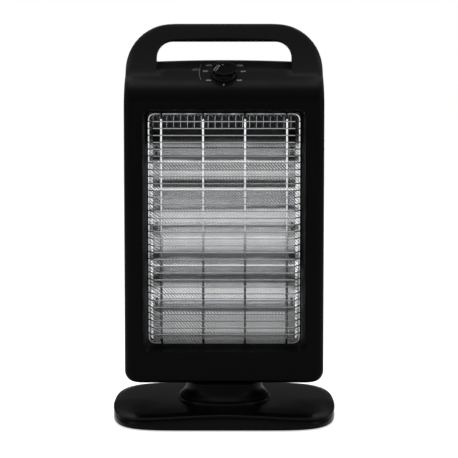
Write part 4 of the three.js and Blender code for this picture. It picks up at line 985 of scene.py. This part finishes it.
def build_reflector():
    vent_low = TROUGH_TOP - VENT_STRIP
    below = [REFLECTOR_BOTTOM, TROUGH_BOTTOM - FLANGE_BEND]
    above = [TROUGH_TOP + FLANGE_BEND, REFLECTOR_TOP]
    middle = sheet_piece("reflector_sheet", below + spaced(TROUGH_BOTTOM, vent_low, SHEET_ROW), middle_line)
    vents = sheet_piece("reflector_vents", spaced(vent_low, TROUGH_TOP, 2.5 * MM) + above, vent_line)
    pieces = [middle, combine(vents, [slot_solid()])]
    hem_low, hem_high = HEM_RANGE
    heights = below + spaced(TROUGH_BOTTOM, hem_low, 2 * MM)[:-1] + [hem_low + HEM_STEP]
    heights += spaced(hem_low, hem_high, 2 * MM)[1:-1] + [hem_high - HEM_STEP]
    heights += spaced(hem_high, TROUGH_TOP, 2 * MM) + above
    for side, name in ((-1, "reflector_end_left"), (1, "reflector_end_right")):
        end = sheet_piece(name, heights, lambda z: end_line(z, side))
        pieces.append(combine(end, [slot_solid(), lamp_holes()]))
    for piece in pieces:
        declare(piece, aluminium, "reflector", sharp=40)
    build_slot_lips()


SLOT_CENTRES = [(i - (SLOT_COUNT - 1) / 2) * SLOT_PITCH for i in range(SLOT_COUNT)]
SLOT_FOOT = TROUGH_TOP - SLOT_RADIUS - SLOT_HEIGHT
SLOT_ARCH = TROUGH_TOP - 2 * SLOT_RADIUS


def slot_solid():
    slots = []
    for x in SLOT_CENTRES:
        outline = [(x - SLOT_RADIUS, SLOT_FOOT), (x + SLOT_RADIUS, SLOT_FOOT)]
        outline += arc(x, SLOT_ARCH, SLOT_RADIUS, 0, 180, 10)
        slots.append(prism(outline, RIM + 1 * MM, RIM + TROUGH_DEPTH + CUT))
    return make_piece("slots", slots)


def build_slot_lips():
    """The turned-out edge of each slot, up its left side and over the arch."""
    lips = []
    for x in SLOT_CENTRES:
        edge = [(x - SLOT_RADIUS, SLOT_FOOT + SLOT_LIP_RISE * i / 8) for i in range(8)]
        edge += arc(x, SLOT_ARCH, SLOT_RADIUS, 180, 20, 9)
        path = [(a, min(z, TROUGH_TOP - 0.6 * MM)) for a, z in edge]
        lips.append(sweep([Vector((a, RIM + sheet_depth(z), z)) for a, z in path], SLOT_LIP, 8))
    declare(make_piece("slot_lips", lips), chrome_lips)


def lamp_ring(x, z, radius, sides=24):
    """A circle about the axis of the lamp at a height."""
    return [Vector((x, a, b)) for a, b in circle(LAMP_Y, z, radius, sides)]


def lamp_holes():
    inner = half_width(TROUGH_DEPTH) - 2 * MM
    tubes = []
    for z in LAMP_HEIGHTS:
        for ends in ((-inner, -TROUGH_HALF - CUT), (inner, TROUGH_HALF + CUT)):
            tubes.append(loft([lamp_ring(x, z, TUBE_RADIUS + LAMP_HOLE_GAP) for x in ends]))
    return make_piece("lamp holes", tubes)


# Lamps

def build_lamps():
    inner = TUBE_RADIUS - TUBE_WALL
    profile = [(-TUBE_HALF, inner), (-TUBE_HALF, TUBE_RADIUS), (TUBE_HALF, TUBE_RADIUS), (TUBE_HALF, inner)]
    for i, z in enumerate(LAMP_HEIGHTS, 1):
        rings = [lamp_ring(x, z, radius, 48) for x, radius in profile]
        tube = make_piece(f"lamp_tube_{i}", [loft(rings, closed=True)])
        declare(tube, glass, f"quartz_tube_{i}")
        coil = make_piece(f"lamp_coil_{i}", coil_parts(z, inner - 0.5 * MM))
        declare(coil, filament_metal, f"filament_{i}", sharp=50)


def coil_parts(z, room):
    """The wound filament, its straight ends and the rings that hold it."""
    steps = 9
    ends = [Vector((TUBE_HALF - 0.5 * MM, LAMP_Y, z)), Vector((COIL_HALF + 2 * MM, LAMP_Y, z))]
    path = [Vector((-end.x, end.y, end.z)) for end in ends]
    for k in range(int(COIL_HALF * 2 / COIL_PITCH) * steps + 1):
        angle = 2 * pi * k / steps
        across = Vector((0, cos(angle), sin(angle))) * COIL_RADIUS
        path.append(Vector((-COIL_HALF + COIL_PITCH * k / steps, LAMP_Y, z)) + across)
    parts = [sweep(path + ends[::-1], COIL_WIRE, 5)]
    for k in range(COIL_SUPPORTS):
        x = (k - (COIL_SUPPORTS - 1) / 2) * 2 * COIL_HALF / COIL_SUPPORTS
        parts.append(sweep(lamp_ring(x, z, room), SUPPORT_WIRE, 5, closed=True))
        parts.append(sweep([Vector((x, LAMP_Y, z + rise)) for rise in (-room, room)], SUPPORT_WIRE, 5))
    return parts


# Base

DIRECTIONS = circle(0, 0, 1, PLAN_POINTS)


def plan_reach(c, s, half_width, half_depth):
    """How far the base's outline lies from its centre in a direction."""
    inside, outside = 0, half_width + half_depth
    across, back = BASE_POWERS
    for _ in range(PLAN_STEPS):
        reach = (inside + outside) / 2
        if abs(reach * c / half_width) ** across + abs(reach * s / half_depth) ** back > 1:
            outside = reach
        else:
            inside = reach
    return inside


def rim_at(x, y):
    """The rim is highest in front, lower at the corners and higher again along the sides."""
    share = min(abs(x) / BASE_HALF_WIDTH, 1)
    lift = RIM_LIFT * share ** 2 * smoothstep(y, *LIFT_RANGE)
    return RIM_FRONT + (RIM_SIDE - RIM_FRONT) * share ** RIM_FALL + lift


def base_plan(inset, height_at):
    loop = []
    for c, s in DIRECTIONS:
        reach = plan_reach(c, s, BASE_HALF_WIDTH - inset, BASE_HALF_DEPTH - inset)
        loop.append(Vector((reach * c, reach * s, height_at(reach * c, reach * s))))
    return loop


def below_rim(inset, drop):
    return base_plan(inset, lambda x, y: rim_at(x, y) - RIM_SHOULDER["drop"] - drop)


def shoulder_loop(share):
    """The top falls ever more steeply from share 1 to the rim, at share 0."""
    inset = RIM_ROLL + RIM_SHOULDER["width"] * share
    return base_plan(inset, lambda x, y: rim_at(x, y) - RIM_SHOULDER["drop"] * (1 - share) ** 2)


def above_floor(inset, share, rise):
    return base_plan(inset, lambda x, y: BASE_BOTTOM + rise + (rim_at(x, y) - BASE_BOTTOM) * share)


def circle_loop(radius, height):
    return [Vector((radius * c, radius * s, height)) for c, s in DIRECTIONS]


def crown_loop(share, drop, radius):
    """Between the shoulder, at share 0, and the collar's foot, at share 1."""
    rim = base_plan(RIM_ROLL + RIM_SHOULDER["width"], lambda x, y: rim_at(x, y) - drop)
    foot = circle_loop(radius, COLLAR_FOOT - drop)
    rise = 1 - (1 - share) ** 2
    loop = []
    for p, q in zip(rim, foot):
        across = p.lerp(q, share)
        loop.append(Vector((across.x, across.y, p.z + (q.z - p.z) * rise)))
    return loop


def quarter_turn(radius, step):
    """Inset and drop of a rounded edge, from its side up to its top."""
    turns = [radians(degrees) for degrees in range(0, 91, step)]
    return [(radius * (1 - cos(turn)), radius * (1 - sin(turn))) for turn in turns]


def build_base():
    """Up the cover's outside, over its crown and collar, and down its inside."""
    loops = [above_floor(inset * MM, share, rise * MM) for inset, share, rise in BASE_FOOT]
    loops += [below_rim(inset * MM, RIM_ROLL + drop * MM) for inset, drop in GROOVE]
    loops += [below_rim(inset, drop) for inset, drop in quarter_turn(RIM_ROLL, 10)]
    loops += [shoulder_loop(i / 8) for i in range(1, 9)]
    loops += [crown_loop(i / 14, 0, COLLAR_RADIUS + 1.5 * MM) for i in range(1, 15)]
    collar = [(COLLAR_RADIUS + 0.4 * MM, COLLAR_FOOT + 0.35 * MM), (COLLAR_RADIUS, COLLAR_FOOT + 1.2 * MM)]
    collar += [(COLLAR_RADIUS - inset, COLLAR_TOP - drop) for inset, drop in quarter_turn(COLLAR_EDGE, 15)]
    lip_bottom, lip_back, inside = COLLAR_TOP - 7.5 * MM, COLLAR_HOLE + 3.5 * MM, COLLAR_RADIUS - WALL
    collar += [
        (COLLAR_HOLE + 1 * MM, COLLAR_TOP), (COLLAR_HOLE, COLLAR_TOP - 1 * MM), (COLLAR_HOLE, lip_bottom),
        (lip_back, lip_bottom), (lip_back, COLLAR_TOP - WALL), (inside, COLLAR_TOP - WALL),
        (inside, COLLAR_FOOT - WALL),
    ]
    loops += [circle_loop(radius, height) for radius, height in collar]
    loops += [
        crown_loop(0.5, WALL, inside), crown_loop(0, WALL, inside),
        below_rim(WALL + GROOVE_DEPTH, RIM_ROLL + WALL),
        above_floor(WALL + 0.8 * MM, 0.3, 0), above_floor(WALL + 0.8 * MM, 0, 0),
    ]
    cover = make_piece("base_shell", [loft(loops, closed=True)])
    low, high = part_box("cord_bush")
    outline = circle(0, (low.z + high.z) / 2, (high.x - low.x) / 2 - CORD_BUSH_LIP, 32)
    hole = prism(outline, BASE_HALF_DEPTH - 8 * MM, BASE_HALF_DEPTH + CUT)
    combine(cover, [make_piece("cord hole", [hole])])
    declare(cover, base_plastic, "base_cover", "base")


def build_neck():
    """A wall over a hollowed, flaring foot, with the spigot that turns in the collar."""
    low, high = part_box("swivel_neck")
    flare, wall, top = high.x + NECK_FLARE, high.x - 3 * MM, high.z
    seat = top - NECK_HEIGHT
    profile = [(SPIGOT_BORE, low.z), (SPIGOT_RADIUS, low.z), (SPIGOT_RADIUS, seat)]
    profile += [(flare + out * MM, seat + up * MM) for out, up in NECK_FOOT]
    profile += [(wall + 0.5 * MM, seat + 11 * MM), (wall, seat + 13.5 * MM)]
    profile += [(wall + out * MM, top + up * MM) for out, up in NECK_EDGE]
    profile += [
        (SPIGOT_RADIUS, top), (SPIGOT_RADIUS, top - WALL), (wall - WALL - 1 * MM, top - WALL),
        (wall - WALL, seat + WALL), (SPIGOT_BORE, seat + WALL),
    ]
    loops = [[Vector((x, y, z)) for x, y in circle(0, 0, radius, 120)] for radius, z in profile]
    neck = make_piece("neck_shell", [loft(loops, closed=True)])
    declare(neck, shell_plastic, "swivel_neck")


# Knob and printed dial

KNOB_CENTRE = Vector(next(joint["pos_m"] for joint in frame["joints"] if joint["name"] == "knob_turn"))
KNOB_FRAME = Matrix.Translation(KNOB_CENTRE) @ Matrix.Rotation(pi / 2 - PANEL_TILT, 4, "X")
KNOB_SLOPE = (KNOB_CENTRE.z - SLOPE_Z) / cos(PANEL_TILT)


def knob_loop(height, radius, lobe):
    loop = []
    for c, s in circle(0, 0, 1, 144):
        dip = max(cos(KNOB_LOBES * (atan2(s, c) - pi / KNOB_LOBES)), 0) ** 1.5
        reach = radius - lobe * dip
        loop.append(KNOB_FRAME @ Vector((reach * c, reach * s, KNOB_BOTTOM + height)))
    return loop


def on_knob_face(flat):
    """A point of the knob's dished face."""
    radius = flat.length / MM
    height = KNOB_DISH[0][1]
    for (outer, high), (inner, low) in zip(KNOB_DISH, KNOB_DISH[1:]):
        if inner <= radius <= outer:
            height = low + (high - low) * (radius - inner) / (outer - inner)
    return KNOB_FRAME @ (flat + Vector((0, 0, KNOB_BOTTOM + height * MM)))


def build_knob():
    stack = KNOB_SIDE + [(height, radius, 0) for radius, height in KNOB_DISH]
    knob = make_piece("knob_body", [loft([knob_loop(h * MM, r * MM, lobe * MM) for h, r, lobe in stack])])
    declare(knob, knob_plastic, "control_knob", "knob", 40)
    turn = Matrix.Rotation(POINTER_ANGLE, 4, "Z")
    reach, width = POINTER["half_length"] - POINTER["half_width"], POINTER["half_width"]
    outline = arc(-reach, 0, width, 90, 270, 8) + arc(reach, 0, width, -90, 90, 8)
    oval = [on_knob_face(POINTER["centre"] + turn @ Vector((a, b, 0))) for a, b in outline]
    tick = [on_knob_face(Vector((x * MM, y * MM, 0))) for x, y in KNOB_TICK]
    lines = [sweep(oval, 0.28 * MM, 8, closed=True), sweep(tick, 0.25 * MM, 8)]
    declare(make_piece("knob_pointer", lines), print_ink, body="knob")


def panel_point(x, up, raised=0):
    """A point of the panel, up along its surface from the knob's axis."""
    along = KNOB_SLOPE + up
    if along >= 0:
        y = SLOPE_Y + along * sin(PANEL_TILT)
        return Vector((x, y - raised * cos(PANEL_TILT), floor_at(x, y) + raised * sin(PANEL_TILT)))
    angle = PANEL_TILT + along / PANEL_RADIUS
    radius = PANEL_RADIUS + raised
    return Vector((x, PANEL_CENTRE_Y - radius * cos(angle), PANEL_START + radius * sin(angle)))


def printed_text(words, size, x, up):
    """Plain figures lying on the panel."""
    curve = bpy.data.curves.new("figures", "FONT")
    curve.body = words
    curve.size = size
    curve.align_x = curve.align_y = "CENTER"
    curve.extrude = 0.04 * MM
    curve.resolution_u = 3
    text = add_object("figures", curve)
    mesh = evaluated_mesh(text)
    bpy.data.objects.remove(text)
    places = [vertex.co for vertex in mesh.vertices]
    vertices = [panel_point(x + co.x * LABEL_WIDTH, up + co.y, LABEL_RISE + co.z) for co in places]
    faces = [tuple(face.vertices) for face in mesh.polygons]
    bpy.data.meshes.remove(mesh)
    return vertices, faces


def build_dial():
    """The figures, the bracket round the left ones, and the sign for turning."""
    parts = [printed_text(words, LABEL_SIZE, x * MM, up * MM) for words, x, up in DIAL_LABELS]
    bracket = []
    for share in (k / 8 for k in range(-8, 9)):
        x = BRACKET["x"] - BRACKET["bow"] * (1 - share ** 2)
        bracket.append(panel_point(x, BRACKET["up"] + BRACKET["half"] * share))
    x, up, half_width, half_height = SWING_SIGN
    turns = [radians(20 * k - 20) for k in range(12)]
    swing = [panel_point(x + half_width * cos(turn), up + half_height * sin(turn)) for turn in turns]
    bar = [panel_point(x + reach, up) for reach in (-half_width * 0.7, half_width * 0.7)]
    parts += [sweep(bracket, PRINT_LINE * 0.7, 6), sweep(swing, PRINT_LINE, 6), sweep(bar, PRINT_LINE, 6)]
    declare(make_piece("dial_marks", parts), print_ink)


# Carried-over parts

def dress_nodes():
    """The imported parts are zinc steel, unless their names start with one of these."""
    finishes = {
        "base_plate": inner_plastic, "tip_plunger": inner_plastic, "crank_arm": inner_plastic,
        "tip_switch_housing": white_plastic, "swivel_washer": white_plastic, "rotary_switch": white_plastic,
        "cord_bush": rubber, "foot_": rubber, "lead_": lead_sleeve, "lamp_cap_": ceramic,
        "heat_shield": blued_steel,
    }
    for name, node in frame["nodes"].items():
        fitting = [finishes[start] for start in finishes if name.startswith(start)]
        node.data.materials.clear()
        node.data.materials.append((fitting + [zinc])[0])


# Stage

def floor_material():
    """Pale floor that reads white, with the heater's shadow on it."""
    shader = Shader("pale floor", Roughness=0.9, Specular_IOR_Level=0)
    colour = shader.colours((3, 3), tinted([(0.3, 0.84), (0.7, 0.87)]))
    shader.tree.links.new(colour, shader.surface.inputs["Base Color"])
    strength = shader.spread(shader.seen_directly(), 0, FLOOR_WHITE, 0, 1)
    glow = shader.node("Emission", {"Strength": strength})
    total = shader.node("AddShader", {0: shader.surface.outputs["BSDF"], 1: glow.outputs["Emission"]})
    shader.tree.links.new(total.outputs["Shader"], shader.tree.nodes["Material Output"].inputs["Surface"])
    return shader.material


def flat_stage(name, corners, material):
    piece = make_piece(name, [(corners, [(0, 1, 2, 3)])])
    piece.data.materials.append(material)
    return piece


def add_flag(name, start, end, height, level):
    """An upright studio flag that only reflections show."""
    black, colour = (0, 0, 0, 1), (level, level, level, 1)
    light = {"Base_Color": black, "Emission_Color": colour, "Emission_Strength": 1}
    shader = Shader(name, Roughness=1, Specular_IOR_Level=0, **light)
    flag = flat_stage(name, [(*start, 0), (*end, 0), (*end, height), (*start, height)], shader.material)
    for ray in ("camera", "diffuse", "shadow", "transmission"):
        setattr(flag, f"visible_{ray}", False)


def build_stage():
    corners = [(x * FLOOR_HALF, y * FLOOR_HALF, 0) for x, y in ((-1, -1), (1, -1), (1, 1), (-1, 1))]
    flat_stage("floor", corners, floor_material())
    add_flag("front flag", (-2.4, -2.3), (2.4, -2.3), 2, 0.95)
    add_flag("rear flag", (-2.6, 2.3), (2.6, 2.3), 1.5, 0.11)
    for side in (-1, 1):
        add_flag(f"side flag {side}", (side * 2.9, -1.2), (side * 2.9, 1.8), 1.3, 0.25)


def add_softbox(name, place, target, size, watts):
    data = bpy.data.lights.new(name, "AREA")
    data.shape = "RECTANGLE"
    data.size, data.size_y = size
    data.energy = watts
    light = add_object(name, data)
    light.location = place
    light.rotation_euler = (Vector(target) - Vector(place)).to_track_quat("-Z", "Y").to_euler()


def light_scene():
    world = bpy.data.worlds.new("studio")
    bpy.context.scene.world = world
    world.use_nodes = True
    graph = Graph(world.node_tree)
    background = graph.tree.nodes["Background"]
    background.inputs["Color"].default_value = (1, 1, 1, 1)
    strength = graph.spread(graph.seen_directly(), WORLD_LIGHT, 1, 0, 1)
    graph.tree.links.new(strength, background.inputs["Strength"])
    add_softbox("top softbox", (-0.1, 0.3, 2.1), (0, 0.1, 0.35), (2.2, 1.8), 15)
    add_softbox("overhead strip", (0, -0.15, 2.1), (0, -0.15, 0), (1.8, 0.22), 8)
    add_softbox("left strip", (-1.7, -0.5, 0.9), (0, 0, 0.3), (0.4, 1.4), 4)
    add_softbox("right strip", (1.7, -0.5, 0.9), (0, 0, 0.3), (0.4, 1.4), 4)


def add_camera():
    data = bpy.data.cameras.new("camera")
    data.lens = CAMERA_LENS
    data.sensor_fit = "HORIZONTAL"
    data.shift_x, data.shift_y = CAMERA_SHIFT
    camera = add_object("camera", data)
    camera.location = CAMERA_PLACE
    camera.rotation_euler = (pi / 2 + CAMERA_PITCH, 0, 0)
    bpy.context.scene.camera = camera


add_camera()
light_scene()
build_stage()
dress_nodes()
build_shells()
build_guard()
build_reflector()
build_lamps()
build_base()
build_neck()
build_knob()
build_dial()
bpy.context.scene.view_settings.view_transform = "Standard"
